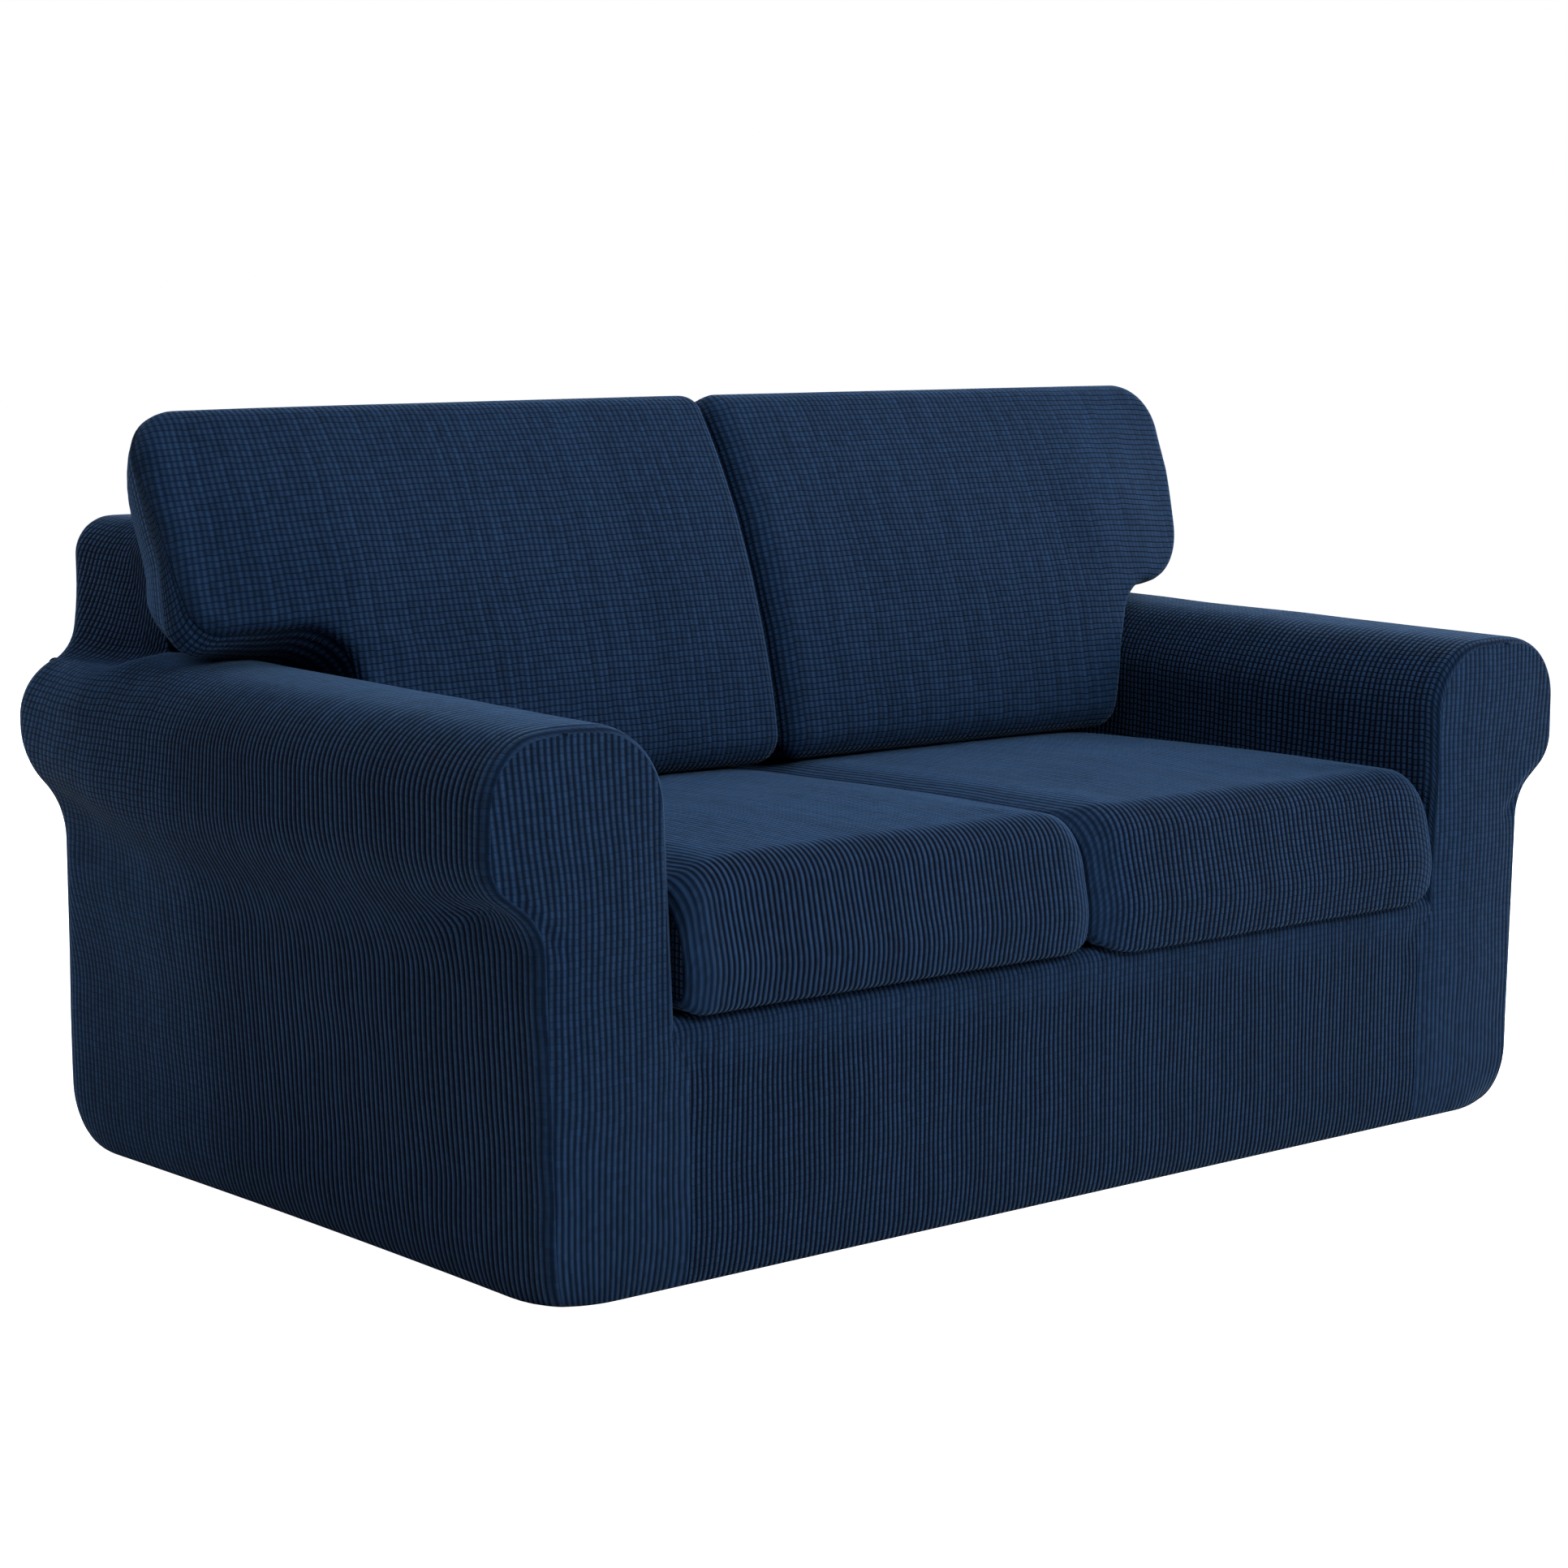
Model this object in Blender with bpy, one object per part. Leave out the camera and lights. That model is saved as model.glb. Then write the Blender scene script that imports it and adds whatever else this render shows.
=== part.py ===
"""Stretch slipcover set for a two-seat sofa with rolled arms: a base cover in one skin, two seat cushion
covers and two T-shaped back cushion covers. Every cut panel is one thin sheet; the sofa itself is left out.

Metres, x to the right, y to the back, z up, the floor at z = 0. Each cover is a smooth surface divided along
its seams, so neighbouring panels face each other edge to edge with a small gap."""

import math

import bmesh
import bpy
import numpy as np
from mathutils import Vector
from mathutils.geometry import tessellate_polygon

SHEET = 0.002  # thickness of the cloth
GAP = 0.0003  # between two panels at a seam
CLEAR = 0.0005  # between two covers that lie on each other

# Base cover, outside of the cloth
FRONT = -0.491
BACK = 0.509
HEM_X = 0.755  # half width just above the hem
SIDE_FLARE = 0.0025  # how much wider the outer sides are at the top of the hem's rows
DECK_Z = 0.288  # top of the seat platform
APRON_BEND = 0.020  # radius of the cloth over the platform's front edge
APRON_X = 0.580  # seam between the apron and an arm's front panel
SEAM_STEP = (0.018, 0.050)  # below the platform's bend, where that seam turns out to the arm
SEAM_STEP_X = 0.008  # how far out it is at the upper of those two heights
ARM_TOP = 0.608
ARM_FOOT_X = 0.596  # inner face of an arm where it meets the platform
ARM_INNER_X = 0.611  # the same face at the roll
INNER_DROP = 0.002  # how much lower the roll is at its inner side
ROLL_X = 0.836  # widest point of the roll
ROLL_LOW_Z = 0.452  # where the roll turns in under itself
TUCK = (0.768, 0.382)  # x and z below the roll, where the outer side begins
EAR_X = 0.737  # end face of the back above the arms
BACK_TOP = 0.765
TOP_SEAM_X = 0.660  # seam on top of the back, between its middle and its ends
TOP_FOLD = 0.003  # depth of the fold along the top of the inside back
EAR_EASE = 0.005  # how far the top seam's front end stands back from that fold
EAR_BEND = (0.035, 0.020)  # height above the crease and reach of the bend at the foot of the back's end
EAR_ROUND = 0.052  # reach of the round over the back's end
CREASE_RISE = 0.010  # how far the arm's top climbs to the crease at the back's end
RISE_START = 0.10  # y where it starts to climb
CREASE_FLARE = 0.012  # how far the crease opens out at the rear
REAR_SMALLER = 0.006  # how much smaller the roll is at the rear
FRONT_EDGE = (APRON_BEND, 0.012)  # soft edge of the arm fronts: its depth along y and its inset
BACK_EDGE = (0.030, 0.020)  # the same round the back

# The elastic hem draws the foot of the base cover in, most of all at the corners
HEM_ROWS = (0.110, 0.060, 0.025, 0.0)  # heights of the cloth's rows near the floor
HEM_HEIGHT = 0.090
HEM_IN = 0.006  # pull along every side
HEM_IN_MIDDLE = 0.009  # more of it in the middle of a side
SIDE_FADE = 0.15  # how far round a corner a side's pull is felt
CORNER_IN = {"front": 0.022, "back": 0.032}
CORNER_SPREAD = 4.0  # a corner is drawn in over this many times its pull, which keeps it round

# Seat cushion covers
SEAT_X = (0.0015, 0.5900)  # inner and outer side of one cover
SEAT_FOOT = DECK_Z + CLEAR
SEAT_SIDE_WIDTH = 0.055  # width of the soft edge at each side
SEAT_SIDE_REACH = 0.036  # how much rounder the front's upper edge is at the sides
SEAT_INSETS = (0.016, 0.028, 0.028, 0.012, 0.012, 0.014, 0.014)  # of each straight of its outline, at a side
SEAT_CROWN = 0.007  # rise of the top in the middle
SEAT_REAR_Z = 0.443  # height of the rear edge
SEAT_REAR_CLEAR = 0.006  # from the rear of a seat cover to the sofa's back

# Back cushion covers, in their own leaning plane: x, height up the plane and depth behind it
LEAN = math.radians(20.5)
FACE_FOOT_Y = 0.0315
FACE_FOOT_Z = 0.4495
CUSHION_DEPTH = 0.165
CUSHION_TOP = 0.491
CUSHION_CROWN = 0.008  # how far the face stands out in the middle
CROWN_REACH = 0.15  # distance from an edge over which the crown rises
CUSHION_BELLY = 0.030  # how far the whole face bows forward at half its height
CROWN_X = (0.62, 0.81)  # outer edge of the face's body and of its wing, as the crown takes them
WING_FOOT = 0.21  # height of the wing's underside, as the crown takes it
BELLY_END = (0.58, 0.24)  # x where the belly starts to fade towards the wing, and how far it takes
REAR_SLOT = 0.030  # height of the opening along the rear's foot
FOOT_PARTS = 3  # divisions of the straight along a cushion cover's foot
EVENNESS = 0.15  # share by which the divisions of its top and inner side are spaced evenly

TOUCHING = 1e-6

CLOTH = (0.0137, 0.0232, 0.0513, 1.0)  # deep navy knit
CLOTH_ROUGHNESS = 0.9


def unit(vector):
    return vector / np.linalg.norm(vector)


def smooth(value):
    """0 below 0, 1 above 1, with a smooth rise between."""
    value = np.clip(value, 0.0, 1.0)
    return value * value * (3 - 2 * value)


def bend(before, corner, after, reach, count):
    """count points of the arc that rounds a corner, starting and ending `reach` away from it."""
    if count == 1:
        return [corner]
    start = corner + unit(before - corner) * reach
    end = corner + unit(after - corner) * reach
    half_turn = np.linalg.norm(end - start) / (2 * reach)
    points = []
    for t in np.linspace(0, 1, count):
        weights = np.array([(1 - t) ** 2, 2 * half_turn * t * (1 - t), t**2])
        points.append((weights[0] * start + weights[1] * corner + weights[2] * end) / weights.sum())
    return points


def rounded(corners, closed=False):
    """The line through corners (a, b, reach, points in the bend), as one array of points for each corner. The
    ends of an open line stay as they are."""
    places = [np.array(c[:2], float) for c in corners]
    last = len(corners) - 1
    runs = []
    for i, (_, _, reach, count) in enumerate(corners):
        if not closed and i in (0, last):
            runs.append(np.array([places[i]]))
            continue
        runs.append(np.array(bend(places[i - 1], places[i], places[(i + 1) % (last + 1)], reach, count)))
    return runs


def shrunk(corners, insets):
    """The corners of an open line with each of its straights moved to the right of its direction of travel."""
    places = np.array([c[:2] for c in corners], float)
    ways = np.diff(places, axis=0)
    ways /= np.linalg.norm(ways, axis=1, keepdims=True)
    inward = np.stack([ways[:, 1], -ways[:, 0]], axis=1)
    moved = [places[0] + insets[0] * inward[0]]
    for i in range(1, len(places) - 1):
        moved.append(places[i] + np.linalg.solve(inward[i - 1 : i + 1], insets[i - 1 : i + 1]))
    moved.append(places[-1] + insets[-1] * inward[-1])
    return [(*place, *corner[2:]) for place, corner in zip(moved, corners)]


def outward(points, closed=False):
    """Unit normals of a line in its plane, to the left of its direction of travel."""
    if closed:
        ahead = np.roll(points, -1, axis=0) - np.roll(points, 1, axis=0)
    else:
        ahead = np.gradient(points, axis=0)
    normals = np.stack([-ahead[:, 1], ahead[:, 0]], axis=1)
    return normals / np.linalg.norm(normals, axis=1, keepdims=True)


def soft_edge(depth, inset, steps=3):
    """(distance along the depth, inset, tilt of the normal) from the seam to where the soft edge has ended."""
    rows = []
    for angle in np.linspace(0, math.pi / 2, steps):
        across, along = math.sin(angle), math.cos(angle)
        tilt = (along / depth) / math.hypot(across / inset, along / depth)
        rows.append((depth * (1 - along), inset * (1 - across), tilt))
    return rows


def drawn_in(point):
    """The base cover's cloth near the floor, pulled in by the elastic in its hem."""
    x, y, z = point
    low = max(0.0, 1 - z / HEM_HEIGHT) ** 2
    from_side = HEM_X - abs(x)
    half_depth = (BACK - FRONT) / 2
    middle = (FRONT + BACK) / 2
    bow_side = HEM_IN + HEM_IN_MIDDLE * (1 - ((y - middle) / half_depth) ** 2)
    bow_end = HEM_IN + HEM_IN_MIDDLE * (1 - (x / HEM_X) ** 2)
    pull_x = bow_side * smooth(1 - from_side / SIDE_FADE)
    pull_y = 0.0
    for label, way, from_end in (("front", 1, y - FRONT), ("back", -1, BACK - y)):
        pull = CORNER_IN[label]
        near = max(0.0, 1 - max(from_side + from_end, 0.0) / (CORNER_SPREAD * pull)) ** 2
        pull_x += pull * near
        pull_y += way * (pull * near + bow_end * smooth(1 - from_end / SIDE_FADE))
    return np.array([x - math.copysign(low * pull_x, x), y + low * pull_y, z])


def pulled(points):
    return np.apply_along_axis(drawn_in, -1, points)


def cloth_material(name):
    material = bpy.data.materials.new(name)
    material.use_nodes = True
    shader = material.node_tree.nodes["Principled BSDF"]
    shader.inputs["Base Color"].default_value = CLOTH
    shader.inputs["Roughness"].default_value = CLOTH_ROUGHNESS
    shader.inputs["Metallic"].default_value = 0.0
    return material


def add_object(name, points, faces):
    mesh = bpy.data.meshes.new(name)
    shape = bmesh.new()
    corners = [shape.verts.new(p) for p in points]
    for face in faces:
        shape.faces.new([corners[i] for i in face])
    for corner in [v for v in shape.verts if not v.link_faces]:
        shape.verts.remove(corner)
    bmesh.ops.recalc_face_normals(shape, faces=shape.faces)
    if shape.calc_volume(signed=True) < 0:
        bmesh.ops.reverse_faces(shape, faces=shape.faces)
    shape.to_mesh(mesh)
    shape.free()
    mesh.shade_smooth()
    mesh.set_sharp_from_angle(angle=math.radians(40))
    mesh.materials.append(cloth_material(name + "_cloth"))
    piece = bpy.data.objects.new(name, mesh)
    bpy.context.scene.collection.objects.link(piece)
    return piece


def closed_sheet(name, outer, inner, skin):
    """A sheet between two lists of points, from the faces of its outer skin: the inner skin is turned round,
    and a rim closes each edge that only one face has."""
    count = len(outer)
    used = {edge for face in skin for edge in zip(face, face[1:] + face[:1])}
    rims = [(b, a, a + count, b + count) for a, b in sorted(used) if (b, a) not in used]
    inside = [tuple(i + count for i in reversed(face)) for face in skin]
    return add_object(name, [*outer, *inner], [*skin, *inside, *rims])


def grid_skin(rows, columns, closed=False, kept=lambda row, column: True):
    """Faces of a grid of points, leaving out the cells that `kept` refuses. closed joins its last column to
    its first."""
    skin = []
    for r in range(rows - 1):
        here, above = r * columns, (r + 1) * columns
        for c in range(columns if closed else columns - 1):
            after = (c + 1) % columns
            if kept(r, c):
                skin.append((here + c, here + after, above + after, above + c))
    return skin


def grid_sheet(name, outer, inner, closed=False, kept=lambda row, column: True):
    skin = grid_skin(*outer.shape[:2], closed, kept)
    return closed_sheet(name, outer.reshape(-1, 3), inner.reshape(-1, 3), skin)


def ladder_sheet(name, one_side, other_side, shares, thickness, shape=lambda points: points):
    """A flat sheet between two edges with the same count of points, divided across at `shares`. Where the two
    edges meet in their last point, the last row is that point alone."""
    shares = np.array(shares)[None, :, None]
    outer = one_side[:, None] * (1 - shares) + other_side[:, None] * shares
    rows, columns = outer.shape[:2]
    skin = grid_skin(rows, columns)
    points = outer.reshape(-1, 3)
    if np.allclose(one_side[-1], other_side[-1]):
        apex = (rows - 1) * columns
        skin = grid_skin(rows - 1, columns)
        skin += [(apex - columns + c, apex - columns + c + 1, apex) for c in range(columns - 1)]
        points = points[: apex + 1]
    return closed_sheet(name, shape(points), shape(points + thickness), skin)


# ---------------------------------------------------------------- base cover


def back_plane_y(z):
    """The sofa back's front face, behind the back cushions and as steep as they are."""
    behind = (CUSHION_DEPTH + CLEAR) / math.cos(LEAN)
    return FACE_FOOT_Y + behind + (z - FACE_FOOT_Z) * math.tan(LEAN)


def platform_z(y):
    """Height of the seat platform's cloth, which bends down over its front edge."""
    ahead = min(max(FRONT + APRON_BEND - y, 0.0), APRON_BEND)
    return DECK_Z - APRON_BEND + math.sqrt(APRON_BEND**2 - ahead**2)


EAR_FRONT = back_plane_y(ARM_TOP + CREASE_RISE)
DIAGONAL = np.array([math.sqrt(0.5), math.sqrt(0.5)])


def crease_point(behind):
    """Where the arm's top meets the back's end. The corner opens out towards the rear."""
    flare = CREASE_FLARE * smooth(behind)
    return EAR_X + flare, ARM_TOP + CREASE_RISE - flare


def arm_line(y, inset=0.0):
    """Section of an arm at y, up its inner face, over the roll, in under it and down to the floor, with its
    normals. Its third corner is the crease below the back's end; behind it the roll is a little smaller."""
    behind = (y - EAR_FRONT) / (BACK - EAR_FRONT)
    smaller = REAR_SMALLER * smooth(behind)
    rise = CREASE_RISE * smooth((y - RISE_START) / (EAR_FRONT - RISE_START))
    crease = crease_point(behind) if behind > 0 else (EAR_X, ARM_TOP + rise)
    corners = [
        # x, z, reach of its bend, points in it
        (ARM_FOOT_X, platform_z(y), 0, 1),
        (ARM_INNER_X, ARM_TOP - INNER_DROP, 0.083, 5),
        (*crease, 0, 1),
        (ROLL_X - smaller, ARM_TOP - smaller, 0.070, 5),
        (ROLL_X - smaller, ROLL_LOW_Z, 0.040, 3),
        (*TUCK, 0.040, 3),
    ]
    corners += [(HEM_X + SIDE_FLARE * smooth(z / HEM_ROWS[0]), z, 0, 1) for z in HEM_ROWS]
    line = np.concatenate(rounded(corners))
    normals = outward(line)
    if behind > 0:
        normals[CREASE] = DIAGONAL
    return line - inset * normals, normals


CREASE = 1 + 5  # index of the crease among the points of arm_line


def rear_stations():
    """(share of the way from the ear's plane to the back, inset, tilt)"""
    behind = BACK - EAR_FRONT
    edge = [(1 - along / behind, inset, tilt) for along, inset, tilt in reversed(soft_edge(*BACK_EDGE))]
    return [(0.45, 0.0, 0.0)] + edge


def arm_stations():
    """(share of the way to the ear's plane, share of the way from it to the back, inset, tilt) for each
    station of an arm. The tilt is the y part of the normal."""
    to_ear = EAR_FRONT - FRONT
    front = [(along / to_ear, 0.0, inset, -tilt) for along, inset, tilt in soft_edge(*FRONT_EDGE)]
    middle = [(part, 0.0, 0.0, 0.0) for part in (0.10, 0.32, 0.72, 1.0)]
    return front + middle + [(1.0, *station) for station in rear_stations()]


EAR_STATION = 6  # index of the station that lies on the ear's plane


def make_arm(name, side):
    """One arm: its inner face, the roll and its outer side, with the outer side going on to the back."""
    outer, inner = [], []
    for part, behind, inset, tilt in arm_stations():
        y = FRONT + part * (EAR_FRONT - FRONT) + behind * (BACK - EAR_FRONT)
        line, normals = arm_line(y, inset)
        level = math.sqrt(1 - tilt**2)
        row_out, row_in = [], []
        for k, ((x, z), (nx, nz)) in enumerate(zip(line, normals)):
            place = y
            if k < CREASE and behind == 0:
                place = FRONT + part * (back_plane_y(z) - FRONT)
            normal = np.array([nx * level, tilt, nz * level])
            if k == len(line) - 1:
                normal = unit(normal * (1, 1, 0))
            point = np.array([x, place, z])
            row_out.append(point)
            row_in.append(point - SHEET * normal)
        outer.append(row_out)
        inner.append(row_in)
    mirror = np.array([side, 1, 1])
    outer, inner = pulled(np.array(outer) * mirror), pulled(np.array(inner) * mirror)
    grid_sheet(name, outer, inner, kept=lambda row, column: row < EAR_STATION or column >= CREASE)


def front_edges():
    """The two edges of an arm's front panel, from the floor up to where they meet on top of the roll."""
    line, _ = arm_line(FRONT, FRONT_EDGE[1] + 2 * GAP)
    seam = APRON_X + GAP
    foot_x, foot_z = line[0]
    inner = [(seam, z) for z in reversed(HEM_ROWS)]
    inner += [(seam, foot_z - SEAM_STEP[1]), (seam + SEAM_STEP_X, foot_z - SEAM_STEP[0])]
    inner += [(foot_x, foot_z), *(line[0] + (line[1] - line[0]) * k / 4 for k in (1, 2, 3))]
    inner += [*line[1 : CREASE + 1]]
    outer = line[CREASE:][::-1]
    return np.array(inner), outer


def make_arm_front(name, side):
    edges = [np.stack([e[:, 0] * side, np.full(len(e), FRONT), e[:, 1]], axis=1) for e in front_edges()]
    ladder_sheet(name, *edges, (0, 0.35, 0.7, 0.87, 1), (0, SHEET, 0), pulled)


def platform_rows():
    """(y, z, half width, normal's y and z) from the platform's back edge over its front edge to the floor."""
    rows = [(y, DECK_Z, ARM_FOOT_X - GAP, 0.0, 1.0) for y in (back_plane_y(DECK_Z) - GAP, -0.15)]
    for along, inset, _ in reversed(soft_edge(*FRONT_EDGE)):
        y = FRONT + along
        ahead = (APRON_BEND - along) / APRON_BEND
        rows.append((y, platform_z(y), ARM_FOOT_X + inset - GAP, -ahead, math.sqrt(1 - ahead**2)))
    foot = DECK_Z - APRON_BEND
    rows.append((FRONT, foot - SEAM_STEP[0], APRON_X + SEAM_STEP_X - GAP, -1.0, 0.0))
    rows += [(FRONT, z, APRON_X, -1.0, 0.0) for z in (foot - SEAM_STEP[1], *HEM_ROWS)]
    return rows


def strip_sheet(name, rows, columns, shape=lambda points: points):
    """A sheet from rows (y, z, half width, normal's y and z), each divided into columns."""
    outer, inner = [], []
    for y, z, width, ny, nz in rows:
        outer.append([(x * width, y, z) for x in np.linspace(-1, 1, columns)])
        inner.append([(x, y - SHEET * ny, z - SHEET * nz) for x, y, z in outer[-1]])
    grid_sheet(name, shape(np.array(outer)), shape(np.array(inner)))


def ear_line(behind, inset=0.0):
    """Section of the back's end from the crease up its face and over its top, with its normals."""
    corners = (
        # x, z, reach of its bend, points in it
        (*crease_point(behind), 0, 1),
        (EAR_X, ARM_TOP + CREASE_RISE + EAR_BEND[0], EAR_BEND[1], 3),
        (EAR_X, BACK_TOP, EAR_ROUND, 5),
        (TOP_SEAM_X + GAP, BACK_TOP, 0, 1),
    )
    line = np.concatenate(rounded(corners))
    normals = -outward(line)
    normals[0] = DIAGONAL
    return line - inset * normals, normals


def make_ear(name, side):
    """End of the sofa's back, above the arm."""
    outer, inner = [], []
    for behind, inset, tilt in [(0.0, 0.0, 0.0)] + rear_stations():
        line, normals = ear_line(behind, inset)
        line[0] += 1.5 * GAP * DIAGONAL * (-1, 1)
        level = math.sqrt(1 - tilt**2)
        row_out, row_in = [], []
        for k, ((x, z), (nx, nz)) in enumerate(zip(line, normals)):
            start = back_plane_y(z) + (SHEET + GAP) / math.cos(LEAN)
            start += EAR_EASE * max(0.0, EAR_X - x) / (EAR_X - TOP_SEAM_X)
            if k == 0 and behind > 0:
                start = EAR_FRONT
            point = np.array([x, start + behind * (BACK - start), z])
            row_out.append(point)
            row_in.append(point - SHEET * np.array([nx * level, tilt, nz * level]))
        outer.append(row_out)
        inner.append(row_in)
    mirror = np.array([side, 1, 1])
    grid_sheet(name, np.array(outer) * mirror, np.array(inner) * mirror)


def inside_back_rows():
    """(y, z, half width, normal's y and z) up the back's front face and over its top to the rear seam."""
    steep = (-math.cos(LEAN), math.sin(LEAN))
    beside = arm_line(EAR_FRONT, -GAP)[0][1 : CREASE + 1]
    edge = [(ARM_FOOT_X - GAP, DECK_Z + GAP), *beside, *ear_line(0.0)[0][3:-1]]
    rows = [(back_plane_y(z), z, x, *steep) for x, z in edge]
    rows.append((back_plane_y(BACK_TOP) + TOP_FOLD, BACK_TOP, TOP_SEAM_X, 0.0, 1.0))
    for along, inset, tilt in reversed(soft_edge(*BACK_EDGE)):
        rows.append((BACK - along, BACK_TOP - inset, TOP_SEAM_X, tilt, math.sqrt(1 - tilt**2)))
    return rows


def rear_edge():
    """The edge of the sofa's rear on one side, from the floor up over the roll and the back's end."""
    arm, _ = arm_line(BACK, BACK_EDGE[1] + GAP)
    ear, _ = ear_line(1.0, BACK_EDGE[1] + GAP)
    edge = np.concatenate([arm[: CREASE - 1 : -1], ear[1:]])
    return np.stack([edge[:, 0], np.full(len(edge), BACK), edge[:, 1]], axis=1)


def make_outside_back():
    edge = rear_edge()
    near_corner = (0, 0.03, 0.09)
    shares = [*near_corner, 0.5, *(1 - s for s in reversed(near_corner))]
    ladder_sheet("outside_back", edge * (-1, 1, 1), edge, shares, (0, -SHEET, 0), pulled)


# ------------------------------------------------------- seat cushion covers


def seat_line(softness, crown, more_inset=0.0):
    """Section of a seat cover, from its free edge under the front over the top to its free edge at the rear,
    with its normals. softness 1 is the smaller and rounder outline at a side."""
    rear_foot = back_plane_y(SEAT_FOOT) - SEAT_REAR_CLEAR
    rear_top = back_plane_y(SEAT_REAR_Z) - SEAT_REAR_CLEAR
    more = SEAT_SIDE_REACH * softness
    table = (
        # y, z, reach of its bend, share of the sides' further reach, points in it
        (-0.400, SEAT_FOOT, 0, 0, 1),
        (-0.495, SEAT_FOOT, 0.024, 0.3, 4),
        (-0.5125, 0.350, 0.014, 0, 2),
        (-0.4880, 0.4415, 0.009, 1, 4),
        (-0.220, 0.4500 + SEAT_CROWN * crown, 0.080, 0, 2),
        (rear_top, SEAT_REAR_Z, 0.030, 0.5, 3),
        (rear_foot, SEAT_FOOT, 0.026, 0, 3),
        (0.090, SEAT_FOOT, 0, 0, 1),
    )
    corners = [(y, z, reach + share * more, count) for y, z, reach, share, count in table]
    insets = np.array(SEAT_INSETS) * softness + more_inset
    line = np.concatenate(rounded(shrunk(corners, insets)))
    return line, outward(line)


def make_seat(prefix, side):
    """One seat cushion cover: its top and front in one length of cloth, and a panel at each side."""
    middle = side * sum(SEAT_X) / 2
    half = (SEAT_X[1] - SEAT_X[0]) / 2
    edge = [(half - along, inset, tilt) for along, inset, tilt in soft_edge(SEAT_SIDE_WIDTH, 1.0, 4)]
    tilts = [t for _, _, t in soft_edge(SEAT_SIDE_WIDTH, SEAT_INSETS[1], 4)]
    across = [(-x, softness, -tilt) for (x, softness, _), tilt in zip(edge, tilts)]
    across += [(0.0, 0.0, 0.0)]
    across += [(x, softness, tilt) for (x, softness, _), tilt in reversed(list(zip(edge, tilts)))]
    outer, inner = [], []
    for x, softness, tilt in across:
        line, normals = seat_line(softness, 1 - (x / half) ** 2)
        level = math.sqrt(1 - tilt**2)
        outer.append([(middle + x, y, z) for y, z in line])
        inner.append(
            [
                (middle + x - SHEET * tilt, y - SHEET * level * ny, z - SHEET * level * nz)
                for (y, z), (ny, nz) in zip(line, normals)
            ]
        )
    grid_sheet(prefix + "_top", np.array(outer), np.array(inner))
    outline, _ = seat_line(1.0, 0.0, GAP)
    lower, upper = outline[: len(outline) // 2], outline[len(outline) // 2 :][::-1]
    for name, way in (("_inner_side", -side), ("_outer_side", side)):
        plane = middle + way * half
        edges = [np.stack([np.full(len(e), plane), e[:, 0], e[:, 1]], axis=1) for e in (lower, upper)]
        ladder_sheet(prefix + name, *edges, (0, 0.5, 1), (-way * SHEET, 0, 0))


# ------------------------------------------------------- back cushion covers

CUSHIONS = {
    # x, height at the face, height at the rear, reach of its bend, points in it, radius over the face's edge,
    # depth and inset of the rear edge, bulge of the boxing
    "left": (
        (0.003, 0.000, 0.062, 0.030, 5, 0.028, 0.030, 0.036, 0.000),
        (0.586, 0.000, 0.062, 0.045, 5, 0.028, 0.030, 0.020, 0.000),
        (0.603, 0.095, 0.170, 0.000, 1, 0.016, 0.030, 0.020, 0.000),
        (0.622, 0.212, 0.247, 0.050, 5, 0.010, 0.030, 0.014, 0.006),
        (0.782, 0.216, 0.247, 0.032, 5, 0.010, 0.075, 0.030, 0.018),
        (0.802, 0.330, 0.330, 0.000, 1, 0.010, 0.125, 0.050, 0.008),
        (0.813, CUSHION_TOP, CUSHION_TOP, 0.084, 5, 0.022, 0.135, 0.055, 0.002),
        (0.003, CUSHION_TOP, CUSHION_TOP, 0.026, 5, 0.028, 0.120, 0.036, 0.000),
    ),
    "right": (
        (0.003, 0.000, 0.062, 0.030, 5, 0.028, 0.030, 0.036, 0.000),
        (0.588, 0.000, 0.062, 0.045, 5, 0.028, 0.030, 0.020, 0.000),
        (0.605, 0.095, 0.170, 0.000, 1, 0.016, 0.030, 0.020, 0.000),
        (0.644, 0.191, 0.247, 0.030, 5, 0.012, 0.030, 0.014, 0.004),
        (0.781, 0.221, 0.250, 0.044, 5, 0.012, 0.075, 0.030, 0.010),
        (0.812, 0.340, 0.340, 0.000, 1, 0.012, 0.125, 0.050, 0.006),
        (0.818, CUSHION_TOP, CUSHION_TOP, 0.080, 5, 0.022, 0.135, 0.055, 0.002),
        (0.003, CUSHION_TOP, CUSHION_TOP, 0.026, 5, 0.028, 0.120, 0.036, 0.000),
    ),
}


def in_place(points, side):
    """Points of a back cushion cover (x, height, depth), from its leaning plane to the room."""
    x, height, depth = np.moveaxis(np.asarray(points), -1, 0)
    y = FACE_FOOT_Y + height * math.sin(LEAN) + depth * math.cos(LEAN)
    z = FACE_FOOT_Z + height * math.cos(LEAN) - depth * math.sin(LEAN)
    return np.stack([side * x, y, z], axis=-1)


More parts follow.
